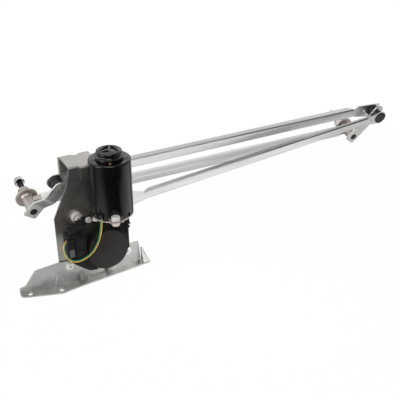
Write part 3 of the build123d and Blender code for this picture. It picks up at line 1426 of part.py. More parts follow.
green_points = (
    (92.9, -150.6, 2.0), (90.4, -154.0, -8.5), (86.9, -158.4, -19.5), (82.6, -161.8, -31.0),
    (76.2, -162.6, -44.5), (65.6, -162.6, -57.5), (51.8, -162.5, -64.8), (38.0, -162.4, -66.4),
    (27.4, -162.2, -61.8), (20.8, -159.6, -52.6), (18.9, -156.4, -42.4), (20.0, -153.4, -34.0),
    (24.9, -151.4, -28.8),
)
yellow_points = (
    (94.9, -151.6, 2.0), (92.5, -155.2, -8.8), (88.9, -159.4, -20.2), (84.6, -162.2, -32.0),
    (77.9, -162.8, -46.0), (66.8, -162.8, -59.6), (52.4, -162.7, -67.2), (37.6, -162.6, -68.8),
    (25.8, -162.4, -63.8), (18.8, -159.8, -53.6), (16.7, -156.4, -42.0), (18.2, -152.8, -32.2),
    (24.9, -150.2, -26.6),
)


def bend_radii(points):
    """Radius at each inner point: 0.45 of the shorter run over the tangent of half the turn."""
    radii = []
    for before, corner, after in zip(points, points[1:], points[2:]):
        run_in = Vector(*corner) - Vector(*before)
        run_out = Vector(*after) - Vector(*corner)
        half_turn = radians(run_in.get_angle(run_out)) / 2
        radii.append(0.45 * min(run_in.length, run_out.length) / tan(half_turn))
    return radii


for colour, points in (("green", green_points), ("yellow", yellow_points)):
    radii = bend_radii(points)
    with BuildPart() as wire:
        with BuildLine() as route:
            FilletPolyline(*points, radius=radii)
        with BuildSketch(Plane(origin=points[0], z_dir=Vector(*points[1]) - Vector(*points[0]))):
            Circle(wire_diameter / 2)
        sweep()
    wire.part.label = f"{colour}_wire"
    export_step(wire.part, f"parts/{colour}_wire.step")
    section_area = pi * wire_diameter**2 / 4
    print(colour, "wire radii", [round(r, 1) for r in radii])
    print(colour, "wire volume", round(wire.part.volume, 2), "expected", round(section_area * route.wire().length, 2))
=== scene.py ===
# %% [markdown]
# # A twin-pivot wiper linkage
# The CAD model gives every rigid piece its size and place. This script dresses it: it softens
# the pieces' edges, adds the fine forms that are too small for CAD, lays the two wires, and
# gives each surface its finish. We begin with the frame, because every piece rides on a body of it.

# %% Load the frame
import json
from math import cos, pi, radians, sin

import bmesh
import bpy
import numpy as np
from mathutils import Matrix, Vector


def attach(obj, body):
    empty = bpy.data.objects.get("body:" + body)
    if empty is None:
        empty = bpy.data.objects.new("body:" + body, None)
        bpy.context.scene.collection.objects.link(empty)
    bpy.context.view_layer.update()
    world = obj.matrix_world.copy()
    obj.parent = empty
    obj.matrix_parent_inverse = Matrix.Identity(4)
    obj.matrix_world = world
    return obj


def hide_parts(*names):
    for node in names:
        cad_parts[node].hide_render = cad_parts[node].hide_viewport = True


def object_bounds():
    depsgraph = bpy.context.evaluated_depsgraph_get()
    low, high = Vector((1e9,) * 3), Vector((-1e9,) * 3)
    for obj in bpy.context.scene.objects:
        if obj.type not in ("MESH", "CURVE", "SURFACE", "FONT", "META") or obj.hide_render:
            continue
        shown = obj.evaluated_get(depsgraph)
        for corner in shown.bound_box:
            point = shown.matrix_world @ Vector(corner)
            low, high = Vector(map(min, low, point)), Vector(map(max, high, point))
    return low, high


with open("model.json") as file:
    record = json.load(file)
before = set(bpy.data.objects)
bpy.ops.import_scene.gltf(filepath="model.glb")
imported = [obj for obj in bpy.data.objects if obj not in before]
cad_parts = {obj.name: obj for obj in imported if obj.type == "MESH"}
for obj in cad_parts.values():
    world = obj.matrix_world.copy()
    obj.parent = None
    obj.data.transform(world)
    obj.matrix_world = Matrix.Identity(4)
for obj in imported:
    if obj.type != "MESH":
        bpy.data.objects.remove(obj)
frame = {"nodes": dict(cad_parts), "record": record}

MM = 0.001
cad_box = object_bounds()
nodes = frame["nodes"]
print("nodes:", len(nodes), "box:", [round(v, 4) for corner in cad_box for v in corner])

# %% [markdown]
# ## Lines that the linkage is built round
# Two spindles lean back by one angle, the motor stands upright, and the worm wheel turns about an
# axis that points at the viewer. We name these lines once, in millimetres, so that every later
# piece can be put against them. A mesh turns its points into metres at the last moment.

# %% Name the shared lines
pivots = {"left": 0.0, "right": 760.0}        # x of each spindle
lean = radians(17.5)
spindle_out = np.array((0.0, cos(lean), sin(lean)))
lift = np.array((0.0, -sin(lean), cos(lean)))
along = np.array((1.0, 0.0, 0.0))
upward = np.array((0.0, 0.0, 1.0))
forward = np.array((0.0, -1.0, 0.0))
motor_axis = np.array((126.0, -124.5, 0.0))
wheel_centre = np.array((101.0, -124.5, -63.0))


def beside_motor(turn, distance, height=0.0):
    """Point at a distance from the motor's axis, turn degrees round it from +X, at a height (mm)."""
    return motor_axis + np.array((distance * cos(radians(turn)), distance * sin(radians(turn)), height))


print("motor axis at", motor_axis[:2], "wheel at", wheel_centre)

# %% [markdown]
# ## The camera
# The photograph was taken from the front left, a little above the linkage. A place, two angles
# and a lens say how the camera stood. Working them out from points that are known on the object,
# such as the two pivots, is surer than turning the view by eye.

# %% Place the camera


def show(name, data):
    """Object that holds data under a name, linked into the scene."""
    thing = bpy.data.objects.new(name, data)
    bpy.context.scene.collection.objects.link(thing)
    return thing


camera_tilt, camera_heading = 62.2, -28.46          # degrees, the tilt counted from straight down
camera_data = bpy.data.cameras.new("photo_camera")
camera_data.sensor_width = 36.0
camera_data.lens = 66.78
camera = show("photo_camera", camera_data)
camera.location = (-0.3086, -1.2680, 0.6583)
camera.rotation_euler = (radians(camera_tilt), 0.0, radians(camera_heading))
bpy.context.scene.camera = camera
print("camera looks from", [round(v, 3) for v in camera.location])

# %% [markdown]
# ## The two wires
# A pair of thin insulated wires leaves the motor at its lower rim, hangs in front of the gearbox
# in one loop and comes back up into the connector. A wire is one smooth curve of a fixed
# length, so it is a NURBS spline along a few chosen points, with a round bevel for its skin.

# %% Lay the wires
wire_diameter = 1.9 * MM
green_points = (
    (92.9, -150.6, 2.0), (90.4, -154.0, -8.5), (86.9, -158.4, -19.5), (82.6, -161.8, -31.0),
    (76.2, -162.6, -44.5), (65.6, -162.6, -57.5), (51.8, -162.5, -64.8), (38.0, -162.4, -66.4),
    (27.4, -162.2, -61.8), (20.8, -159.6, -52.6), (18.9, -156.4, -42.4), (20.0, -153.4, -34.0),
    (24.9, -151.4, -28.8),
)
yellow_points = (
    (94.9, -151.6, 2.0), (92.5, -155.2, -8.8), (88.9, -159.4, -20.2), (84.6, -162.2, -32.0),
    (77.9, -162.8, -46.0), (66.8, -162.8, -59.6), (52.4, -162.7, -67.2), (37.6, -162.6, -68.8),
    (25.8, -162.4, -63.8), (18.8, -159.8, -53.6), (16.7, -156.4, -42.0), (18.2, -152.8, -32.2),
    (24.9, -150.2, -26.6),
)


def lay_wire(colour, points):
    """One wire: a NURBS spline of order 3 that follows its points, skinned with a round bevel."""
    curve = bpy.data.curves.new(f"{colour}_lead", "CURVE")
    curve.dimensions = "3D"
    curve.bevel_depth = wire_diameter / 2
    curve.bevel_resolution = 4
    curve.resolution_u = 10
    curve.use_fill_caps = True
    spline = curve.splines.new("NURBS")
    spline.points.add(len(points) - 1)
    rows = np.column_stack((np.array(points) * MM, np.ones(len(points))))
    spline.points.foreach_set("co", rows.ravel())
    spline.order_u = 3
    spline.use_endpoint_u = True
    wire = show(f"{colour}_lead", curve)
    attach(wire, "frame")
    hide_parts(f"{colour}_wire")
    return wire


green_wire = lay_wire("green", green_points)
yellow_wire = lay_wire("yellow", yellow_points)
print("wires:", green_wire.name, yellow_wire.name)

# %% [markdown]
# ## Light for three kinds of eye
# The linkage lies on a pale studio table. Zinc has hardly a colour of its own and shows what stands
# round it, so the studio matters as much as the finish. The camera sees table and room as plain
# white. Gloss sees a graded studio: a bright band of table, a bright wall behind and a dark room in
# front. Dull surfaces get one plain level from all sides. A Light Path node tells the three apart.

# %% Helpers for light
plain_level = 0.7


def node_tree(material):
    """Empties a material's node tree and returns the tree with its output node."""
    material.use_nodes = True
    tree = material.node_tree
    tree.nodes.clear()
    output = tree.nodes.new("ShaderNodeOutputMaterial")
    return tree, output


def maths(tree, operation, *values):
    """Output of a Math node whose values are sockets to link or numbers to set."""
    node = tree.nodes.new("ShaderNodeMath")
    node.operation = operation
    for socket, value in zip(node.inputs, values):
        if isinstance(value, float):
            socket.default_value = value
        else:
            tree.links.new(value, socket)
    return node.outputs["Value"]


def split_by_eye(tree, shown, lit, output):
    """Shows one shader to the camera, straight or through glass, and lights the object with another."""
    path = tree.nodes.new("ShaderNodeLightPath")
    seen = maths(tree, "MAXIMUM", path.outputs["Is Camera Ray"], path.outputs["Is Transmission Ray"])
    split = tree.nodes.new("ShaderNodeMixShader")
    tree.links.new(seen, split.inputs["Fac"])
    tree.links.new(lit, split.inputs[1])
    tree.links.new(shown, split.inputs[2])
    tree.links.new(split.outputs["Shader"], output.inputs["Surface"])


def for_gloss(tree, graded):
    """Strength that gloss sees as it is graded, while dull surfaces get the plain level."""
    path = tree.nodes.new("ShaderNodeLightPath")
    chosen = tree.nodes.new("ShaderNodeMix")
    chosen.data_type = "FLOAT"
    chosen.inputs["A"].default_value = plain_level
    tree.links.new(path.outputs["Is Glossy Ray"], chosen.inputs["Factor"])
    tree.links.new(graded, chosen.inputs["B"])
    return chosen.outputs["Result"]


def split_place(tree, output_name):
    """The three numbers of a Texture Coordinate output, as sockets X, Y and Z."""
    place = tree.nodes.new("ShaderNodeTexCoord")
    numbers = tree.nodes.new("ShaderNodeSeparateXYZ")
    tree.links.new(place.outputs[output_name], numbers.inputs["Vector"])
    return numbers.outputs


def ramp(tree, source, *stops):
    """Socket with a brightness that runs straight between stops of (place, brightness)."""
    start, end = stops[0][0], stops[-1][0]
    placed = tree.nodes.new("ShaderNodeMapRange")
    placed.inputs["From Min"].default_value = start
    placed.inputs["From Max"].default_value = end
    tree.links.new(source, placed.inputs["Value"])
    curve = tree.nodes.new("ShaderNodeFloatCurve")
    line = curve.mapping.curves[0]
    for place, value in stops[1:-1]:
        line.points.new((place - start) / (end - start), value)
    line.points[0].location = (0.0, stops[0][1])
    line.points[len(line.points) - 1].location = (1.0, stops[-1][1])
    for point in line.points:
        point.handle_type = "VECTOR"
    curve.mapping.update()
    tree.links.new(placed.outputs["Result"], curve.inputs["Value"])
    return curve.outputs["Value"]


print("plain level:", plain_level)

# %% Build the table
table_drop = 0.0005          # half a millimetre of air, so that foot and table share no plane
table_z = cad_box[0].z - table_drop
table_left, table_right, table_near, table_far = -0.45, 1.15, -0.62, 0.42
table_mesh = bpy.data.meshes.new("studio_table")
table_mesh.from_pydata([
    (table_left, table_near, table_z), (table_right, table_near, table_z),
    (table_right, table_far, table_z), (table_left, table_far, table_z),
], [], [(0, 1, 2, 3)])
table = show("studio_table", table_mesh)


def table_brightness(tree):
    """Brightness that gloss sees: depth * width * gain, plus a patch near the right front corner."""
    gain = 1.06
    place = split_place(tree, "Object")
    depth = ramp(tree, place["Y"], (-0.8, 0.03), (-0.42, 0.03), (-0.28, 1.0), (-0.08, 1.0), (-0.045, 0.6),
                 (-0.01, 0.2), (0.12, 0.2), (0.2, 0.8), (0.7, 0.8))
    width = ramp(tree, place["X"], (-0.7, 0.45), (-0.28, 0.45), (-0.22, 1.0), (-0.12, 0.9), (-0.02, 0.62),
                 (0.08, 0.66), (0.24, 1.0), (0.72, 1.0), (0.82, 0.7), (1.5, 0.7))
    patch_width = ramp(tree, place["X"], (-0.7, 0.0), (0.27, 0.0), (0.34, 0.7), (1.5, 0.7))
    patch_depth = ramp(tree, place["Y"], (-0.8, 1.0), (-0.36, 1.0), (-0.3, 0.0), (0.7, 0.0))
    patch = maths(tree, "MULTIPLY", patch_width, patch_depth)
    return maths(tree, "MULTIPLY_ADD", maths(tree, "MULTIPLY", depth, width), gain, patch)


def white_table():
    """Material of the table: white with a faint shadow for the camera, graded light for the object."""
    glow_share = 0.98
    material = bpy.data.materials.new("table_white")
    tree, output = node_tree(material)
    plain = tree.nodes.new("ShaderNodeBsdfDiffuse")
    plain.inputs["Color"].default_value = (0.8, 0.8, 0.8, 1.0)
    glow = tree.nodes.new("ShaderNodeEmission")
    glow.inputs["Color"].default_value = (1.0, 1.0, 1.0, 1.0)
    shown = tree.nodes.new("ShaderNodeMixShader")
    shown.inputs["Fac"].default_value = glow_share
    tree.links.new(plain.outputs["BSDF"], shown.inputs[1])
    tree.links.new(glow.outputs["Emission"], shown.inputs[2])
    lit = tree.nodes.new("ShaderNodeEmission")
    tree.links.new(for_gloss(tree, table_brightness(tree)), lit.inputs["Strength"])
    split_by_eye(tree, shown.outputs["Shader"], lit.outputs["Emission"], output)
    return material


table_mesh.materials.append(white_table())
print("table at", round(table_z, 4))

# %% Light the room
room_gain = 1.8
world = bpy.data.worlds.new("studio")
bpy.context.scene.world = world
world.use_nodes = True
sky = world.node_tree
sky.nodes.clear()
sky_output = sky.nodes.new("ShaderNodeOutputWorld")
direction = split_place(sky, "Generated")          # in a world this is the direction that a ray looks in
wall = ramp(sky, direction["Y"], (-1.0, 0.06), (-0.6, 0.06), (0.3, 0.85), (0.6, 1.0), (1.0, 1.0))
ceiling = ramp(sky, direction["Z"], (-1.0, 0.3), (0.15, 0.3), (0.4, 1.0), (0.55, 1.0), (0.75, 0.5),
               (1.0, 0.42))
room_light = maths(sky, "MULTIPLY", maths(sky, "MULTIPLY", wall, ceiling), room_gain)
room = sky.nodes.new("ShaderNodeBackground")
sky.links.new(for_gloss(sky, room_light), room.inputs["Strength"])
backdrop = sky.nodes.new("ShaderNodeBackground")
backdrop.inputs["Color"].default_value = (1.0, 1.0, 1.0, 1.0)
split_by_eye(sky, backdrop.outputs["Background"], room.outputs["Background"], sky_output)
print("room nodes:", len(sky.nodes))

# %% Hang the lamps


def softbox(name, place, aim, size, power, spread=180.0):
    """Area lamp at a place, turned to look at a point, its beam held to a spread in degrees."""
    data = bpy.data.lights.new(name, "AREA")
    data.shape = "RECTANGLE"
    data.size, data.size_y = size
    data.energy = power
    data.spread = radians(spread)
    lamp = show(name, data)
    lamp.location = place
    lamp.rotation_euler = (Vector(aim) - Vector(place)).to_track_quat("-Z", "Y").to_euler()
    return lamp


lamps = [
    softbox("overhead", (-0.2, -0.7, 1.4), (0.25, 0.0, 0.0), (0.9, 0.6), 9.0),
    softbox("left_key", (-1.35, -0.35, 0.35), (0.1, 0.0, -0.05), (0.9, 0.7), 10.0),
    softbox("foot_fill", (0.6, -0.75, 0.12), (0.19, -0.12, -0.15), (0.3, 0.2), 0.15, spread=35.0),
]
bpy.context.scene.view_settings.view_transform = "Standard"
print("lamps:", [lamp.name for lamp in lamps])

# %% [markdown]
# ## Finishes
# Most of the linkage is steel with a thin coat of zinc. Up close such a coat is never one colour:
# it has cloudy patches, fine rolling lines along the strip and small dull marks. Each finish here
# is one principled shader whose colour and roughness drift between two values by soft noise, and
# whose bump has a fine grain. One helper makes them all, so that a finish is a short line.

# %% A helper for finishes
finishes = {}


def finish(name, dark, light, rough, metallic=1.0, patch=60.0, grain=1800.0, bump=0.02,
           stretch=(1.0, 1.0, 1.0), edge=0.4, specular=0.5):
    """Adds a principled material whose colour and roughness drift between two values.

    patch and grain are noise scales per metre, bump is the grain's height in millimetres,
    stretch squeezes the noise along an axis to make rolled lines, and edge is the radius in
    millimetres by which a sharp edge is softened in the shading.
    """
    low, high = 0.3, 0.7          # the noise seldom leaves this range
    material = bpy.data.materials.new(name)
    tree, output = node_tree(material)
    shader = tree.nodes.new("ShaderNodeBsdfPrincipled")
    shader.inputs["Metallic"].default_value = metallic
    shader.inputs["Specular IOR Level"].default_value = specular
    place = tree.nodes.new("ShaderNodeTexCoord")
    squeeze = tree.nodes.new("ShaderNodeMapping")
    squeeze.inputs["Scale"].default_value = stretch
    tree.links.new(place.outputs["Object"], squeeze.inputs["Vector"])
    clouds = tree.nodes.new("ShaderNodeTexNoise")
    clouds.inputs["Scale"].default_value = patch
    clouds.inputs["Detail"].default_value = 6.0
    clouds.inputs["Roughness"].default_value = 0.6
    tree.links.new(squeeze.outputs["Vector"], clouds.inputs["Vector"])
    tint = tree.nodes.new("ShaderNodeValToRGB")
    tint.color_ramp.elements[0].position = low
    tint.color_ramp.elements[0].color = (*dark, 1.0)
    tint.color_ramp.elements[1].position = high
    tint.color_ramp.elements[1].color = (*light, 1.0)
    tree.links.new(clouds.outputs["Fac"], tint.inputs["Fac"])
    tree.links.new(tint.outputs["Color"], shader.inputs["Base Color"])
    gloss = tree.nodes.new("ShaderNodeMapRange")
    gloss.inputs["From Min"].default_value = low
    gloss.inputs["From Max"].default_value = high
    gloss.inputs["To Min"].default_value = rough[0]
    gloss.inputs["To Max"].default_value = rough[1]
    tree.links.new(clouds.outputs["Fac"], gloss.inputs["Value"])
    tree.links.new(gloss.outputs["Result"], shader.inputs["Roughness"])
    fine = tree.nodes.new("ShaderNodeTexNoise")
    fine.inputs["Scale"].default_value = grain
    fine.inputs["Detail"].default_value = 3.0
    tree.links.new(squeeze.outputs["Vector"], fine.inputs["Vector"])
    relief = tree.nodes.new("ShaderNodeBump")
    relief.inputs["Strength"].default_value = 0.6
    relief.inputs["Distance"].default_value = bump * MM
    tree.links.new(fine.outputs["Fac"], relief.inputs["Height"])
    if edge:
        soft_edge = tree.nodes.new("ShaderNodeBevel")
        soft_edge.samples = 4
        soft_edge.inputs["Radius"].default_value = edge * MM
        tree.links.new(soft_edge.outputs["Normal"], relief.inputs["Normal"])
    tree.links.new(relief.outputs["Normal"], shader.inputs["Normal"])
    tree.links.new(shader.outputs["BSDF"], output.inputs["Surface"])
    finishes[name] = material


# %% Mix the finishes
rolled = (0.05, 1.0, 1.0)          # the noise runs twenty times as far along the strip
finish("rod_zinc", (0.62, 0.625, 0.61), (0.8, 0.8, 0.79), (0.28, 0.42), stretch=rolled)
# The tube's zinc is lighter and less metallic than the rods': painted light, so that the tube reads as
# brightly lit
finish("tube_zinc_painted_light", (0.72, 0.725, 0.71), (0.96, 0.96, 0.95), (0.34, 0.46), metallic=0.2, stretch=rolled)
# The bracket's zinc is darker than the other zinc: painted shade, because the bracket's face stands in shadow
finish("shaded_bracket_zinc", (0.36, 0.352, 0.33), (0.52, 0.512, 0.485), (0.36, 0.5), patch=28.0)
finish("foot_zinc", (0.5, 0.5, 0.485), (0.66, 0.66, 0.645), (0.34, 0.5), patch=45.0)
finish("lever_zinc", (0.58, 0.58, 0.565), (0.74, 0.74, 0.725), (0.3, 0.44), patch=80.0)
finish("bright_zinc", (0.6, 0.6, 0.58), (0.75, 0.75, 0.73), (0.22, 0.36))
finish("cast_zinc", (0.5, 0.45, 0.42), (0.62, 0.57, 0.54), (0.42, 0.58), grain=900.0, bump=0.06)
finish("head_zinc", (0.7, 0.7, 0.67), (0.86, 0.86, 0.83), (0.24, 0.38), metallic=0.6)
finish("bolt_zinc", (0.82, 0.82, 0.79), (0.94, 0.94, 0.91), (0.24, 0.34), metallic=0.5)
finish("nut_zinc", (0.46, 0.43, 0.4), (0.62, 0.59, 0.55), (0.16, 0.28), metallic=0.9)
finish("cast_aluminium", (0.62, 0.57, 0.53), (0.76, 0.71, 0.67), (0.45, 0.6), metallic=0.35, grain=700.0,
       bump=0.09)
finish("black_paint", (0.0018, 0.0017, 0.0016), (0.003, 0.0028, 0.0026), (0.16, 0.24), metallic=0.0,
       patch=90.0, grain=350.0, specular=0.42)
finish("black_steel", (0.008, 0.009, 0.008), (0.018, 0.019, 0.017), (0.3, 0.45), metallic=0.4)
finish("black_plastic", (0.007, 0.0068, 0.0066), (0.013, 0.0125, 0.012), (0.42, 0.56), metallic=0.0,
       grain=1400.0, bump=0.04, specular=0.25)
finish("socket_plastic", (0.012, 0.012, 0.012), (0.02, 0.02, 0.02), (0.28, 0.4), metallic=0.0,
       grain=900.0)
finish("black_rubber", (0.004, 0.004, 0.004), (0.007, 0.007, 0.007), (0.14, 0.22), metallic=0.0,
       grain=800.0)
finish("grey_plastic", (0.07, 0.07, 0.075), (0.12, 0.12, 0.125), (0.25, 0.4), metallic=0.0)
finish("white_plastic", (0.78, 0.76, 0.69), (0.86, 0.84, 0.78), (0.35, 0.45), metallic=0.0)
finish("brass_chromate", (0.4, 0.3, 0.1), (0.56, 0.45, 0.2), (0.3, 0.45))
finish("drum_plastic", (0.017, 0.014, 0.012), (0.024, 0.02, 0.018), (0.46, 0.6), metallic=0.0,
       grain=1500.0, bump=0.03, specular=0.3)
finish("bronze", (0.45, 0.31, 0.16), (0.58, 0.42, 0.24), (0.35, 0.5))
finish("copper", (0.62, 0.32, 0.2), (0.75, 0.43, 0.29), (0.22, 0.35))
finish("chrome", (0.78, 0.78, 0.78), (0.86, 0.86, 0.86), (0.04, 0.1), grain=400.0, bump=0.004)
finish("ferrite", (0.03, 0.03, 0.03), (0.06, 0.06, 0.06), (0.55, 0.7), metallic=0.0)
finish("green_skin", (0.0, 0.16, 0.085), (0.01, 0.24, 0.12), (0.28, 0.36), metallic=0.0, edge=0.0)
finish("yellow_skin", (0.6, 0.34, 0.03), (0.72, 0.46, 0.06), (0.28, 0.36), metallic=0.0, edge=0.0)
print("finishes:", len(finishes))

# %% [markdown]
# ## Dressing the CAD pieces
# Stamped and cast pieces have no razor edges: a press rounds them by a few tenths of a
# millimetre, and that thin bright line is what makes metal look like metal. The CAD triangles
# can't be changed, so each visible piece gets a copy with its doubles merged, its flat triangles
# joined into whole faces and its edges bevelled, and the copy stands for the node.

# %% A helper that finishes a piece


def fit_piece(name, mesh, body, finish_name, replaced, angle, radius):
    """Object for a mesh: smooth shaded, edges past an angle rounded by a radius in mm, riding on a body."""
    mesh.materials.append(finishes[finish_name])
    mesh.shade_smooth()
    mesh.set_sharp_from_angle(angle=radians(angle))
    piece = show(name, mesh)
    if radius:
        bevel = piece.modifiers.new("edges", "BEVEL")
        bevel.width = radius * MM
        bevel.segments = 2
        bevel.limit_method = "ANGLE"
        bevel.angle_limit = radians(angle)
        bevel.harden_normals = True
    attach(piece, body)
    if replaced:
        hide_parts(*replaced)
    return piece


# %% [markdown]
# ## The casting's screw lugs
# The can's two screws stand on lugs of the casting. On the real piece a lug is slimmer than its
# solid and its pad is thinner. We move the corners of the solid's copy instead of building new lugs,
# because the faces between the corners then follow by themselves.

# %% Slim the lugs
lug_turns = (-105.0, 38.0)          # where the can's screws stand, in degrees round the motor's axis
lug_distance = 47.0
lug_inside, lug_outside = 8.0, 11.0          # a corner this far from a screw's axis is on its lug's wall
lug_share = 0.66
lug_rows = (-4.9, -4.1)          # heights at which the casting's walls get one more row of corners
pad_low, pad_high, pad_lift = -10.0, -9.0, -7.9


def slim_lugs(work):
    """Draws the walls of both lugs in and thins their pads, on a bmesh in metres.

    A corner on a lug's wall moves to axis + (corner - axis) * lug_share, at every height, and a
    corner under a lug, between pad_low and pad_high, rises to pad_lift.
    """
    for height in lug_rows:
        bmesh.ops.bisect_plane(work, geom=[*work.verts, *work.edges, *work.faces],
                               plane_co=(0.0, 0.0, height * MM), plane_no=(0.0, 0.0, 1.0))
    corners = np.array([corner.co for corner in work.verts]) / MM
    low = (corners[:, 2] > pad_low) & (corners[:, 2] < pad_high)
    for turn in lug_turns:
        axis = beside_motor(turn, lug_distance)[:2]
        offset = corners[:, :2] - axis
        far = np.hypot(offset[:, 0], offset[:, 1])
        wall = (far > lug_inside) & (far < lug_outside)
        corners[low & (far < lug_outside), 2] = pad_lift
        corners[wall, :2] = axis + offset[wall] * lug_share
    for corner, place in zip(work.verts, corners * MM):
        corner.co = place


print("lugs at", [beside_motor(turn, lug_distance)[:2].round(1).tolist() for turn in lug_turns])

# %% Soften the visible pieces


def soften(node, body, finish_name, radius):
    """Copy of a CAD node with merged corners and edges rounded by a radius in millimetres."""
    mesh = nodes[node].data.copy()
    mesh.name = f"{node}_soft"
    work = bmesh.new()
    work.from_mesh(mesh)
    bmesh.ops.remove_doubles(work, verts=work.verts, dist=0.004 * MM)
    if node == "gearbox_housing":
        slim_lugs(work)
    bmesh.ops.dissolve_limit(work, angle_limit=radians(1.0), verts=work.verts, edges=work.edges)
    work.to_mesh(mesh)
    work.free()
    mesh.materials.clear()
    return fit_piece(f"{node}_skin", mesh, body, finish_name, (node,), angle=25.0, radius=radius)


softened = (
    # the tube's lighter zinc is painted light
    ("frame_tube", "frame", "tube_zinc_painted_light", "satin_zinc", 0.3),
    ("left_housing", "frame", "cast_zinc", "cast_zinc", 0.5),
    ("right_housing", "frame", "cast_zinc", "cast_zinc", 0.5),
    ("panel_washers", "frame", "bright_zinc", "bright_zinc", 0.25),
    ("panel_nuts", "frame", "nut_zinc", "bright_zinc", 0.3),
    # the bracket's darker zinc is painted shade
    ("main_bracket", "frame", "shaded_bracket_zinc", "satin_zinc", 0.4),
    ("foot_plate", "frame", "foot_zinc", "satin_zinc", 0.5),
    ("foot_bolts", "frame", "bolt_zinc", "bright_zinc", 0.3),
    ("foot_nuts", "frame", "head_zinc", "bright_zinc", 0.3),
    ("motor_can", "frame", "black_paint", "black_paint", 0.5),
    ("motor_bolts", "frame", "head_zinc", "bright_zinc", 0.2),
    ("cover_screw", "frame", "head_zinc", "bright_zinc", 0.4),
    ("mount_bolts", "frame", "head_zinc", "bright_zinc", 0.4),
    ("gearbox_housing", "frame", "cast_aluminium", "cast_aluminium", 0.5),
    ("gearbox_cover", "frame", "black_plastic", "black_plastic", 0.5),
    ("connector_block", "frame", "black_plastic", "black_plastic", 0.4),
    ("connector_latch", "frame", "grey_plastic", "grey_plastic", 0.4),
    ("wire_grommet", "frame", "black_rubber", "black_rubber", 0.4),
    ("left_lever", "left_wiper", "lever_zinc", "bright_zinc", 0.5),
    ("left_ball_stud", "left_wiper", "bright_zinc", "bright_zinc", 0.2),
    ("left_arm_nut", "left_wiper", "chrome", "chrome", 0.35),
    ("right_lever", "right_wiper", "lever_zinc", "bright_zinc", 0.5),
    ("right_ball_stud", "right_wiper", "bright_zinc", "bright_zinc", 0.2),
    ("right_arm_nut", "right_wiper", "chrome", "chrome", 0.35),
    ("coupling_rod", "coupling", "rod_zinc", "satin_zinc", 0.5),
    ("coupling_left_socket", "coupling", "socket_plastic", "black_plastic", 0.5),
    ("coupling_right_socket", "coupling", "socket_plastic", "black_plastic", 0.5),
    ("drive_rod", "drive", "rod_zinc", "satin_zinc", 0.5),
    ("drive_left_socket", "drive", "socket_plastic", "black_plastic", 0.5),
    ("drive_right_socket", "drive", "socket_plastic", "black_plastic", 0.5),
    ("crank_arm", "crank", "bright_zinc", "satin_zinc", 0.5),
    ("crank_nut", "crank", "bright_zinc", "bright_zinc", 0.3),
)
for node, body, finish_name, slot, radius in softened:
    soften(node, body, finish_name, radius)
print("softened pieces:", len(softened))

# %% [markdown]
# ## Surfaces from arrays
# The knurled cone and the thread of a spindle are too fine for CAD triangles, but they are easy
# to say as a formula: the radius is a function of the height and of the angle round the axis.
# We work the whole grid out at once with numpy and hand it to the mesh, which is quicker and
# clearer than building rings one by one.

# %% A mesh from a grid of points


def grid_mesh(name, points):
    """Mesh from rows x columns x 3 points in millimetres, its last column joined to the first."""
    rows, columns = points.shape[:2]
    row = np.arange(rows - 1)[:, None] * columns
    across = np.arange(columns)
    here = row + across
    after = row + (across + 1) % columns
    quads = np.stack((here, after, after + columns, here + columns), axis=-1).reshape(-1, 4)
    mesh = bpy.data.meshes.new(name)
    mesh.from_pydata((points.reshape(-1, 3) * MM).tolist(), [], quads.tolist())
    return mesh


def add_piece(name, mesh, body, finish_name, replaced=(), angle=30.0, radius=0.0):
    """Piece from a new mesh, after its doubles are merged and its faces turned outwards."""
    work = bmesh.new()
    work.from_mesh(mesh)
    bmesh.ops.remove_doubles(work, verts=work.verts, dist=0.001 * MM)
    bmesh.ops.recalc_face_normals(work, faces=work.faces)
    work.to_mesh(mesh)
    work.free()
    return fit_piece(name, mesh, body, finish_name, replaced, angle, radius)


def around(count):
    """Angles of a number of even steps round a circle."""
    return np.linspace(0.0, 2.0 * pi, count, endpoint=False)


def turned(radius, height, origin, axis=spindle_out, columns=96):
    """Surface of revolution as a grid, in millimetres.

    Point = origin + axis * height + radius * (along * cos(angle) + (axis x along) * sin(angle)).
    radius may be one value per height, or a whole array of heights x columns.
    """
    angle = around(columns)
    ring = np.cos(angle)[:, None] * along + np.sin(angle)[:, None] * np.cross(axis, along)
    radius, height = np.asarray(radius, float), np.asarray(height, float)
    if radius.ndim == 1:
        radius = np.repeat(radius[:, None], columns, axis=1)
    return origin + height[:, None, None] * axis + radius[:, :, None] * ring[None, :, :]


print("a turned ring is a grid of", turned([1.0, 1.0], [0.0, 1.0], motor_axis).shape)

# %% [markdown]
# ## Knurled spindles
# A wiper arm must not slip on its spindle, so the spindle ends in a cone with forty sharp grooves,
# and a thread above it for the arm's nut. The grooves are a sine of the angle, and the
# thread is a saw wave of the height that climbs one pitch in each turn.

# %% Make both spindles
shaft_radius, head_radius, circlip_radius = 6.0, 7.2, 5.5
cone_low, cone_high, cone_end_radius = 18.9, 42.9, 5.3
groove_count, groove_depth = 40, 0.32
thread_high = cone_high + 11.0
thread_pitch, thread_core, thread_depth = 1.5, 4.35, 0.45


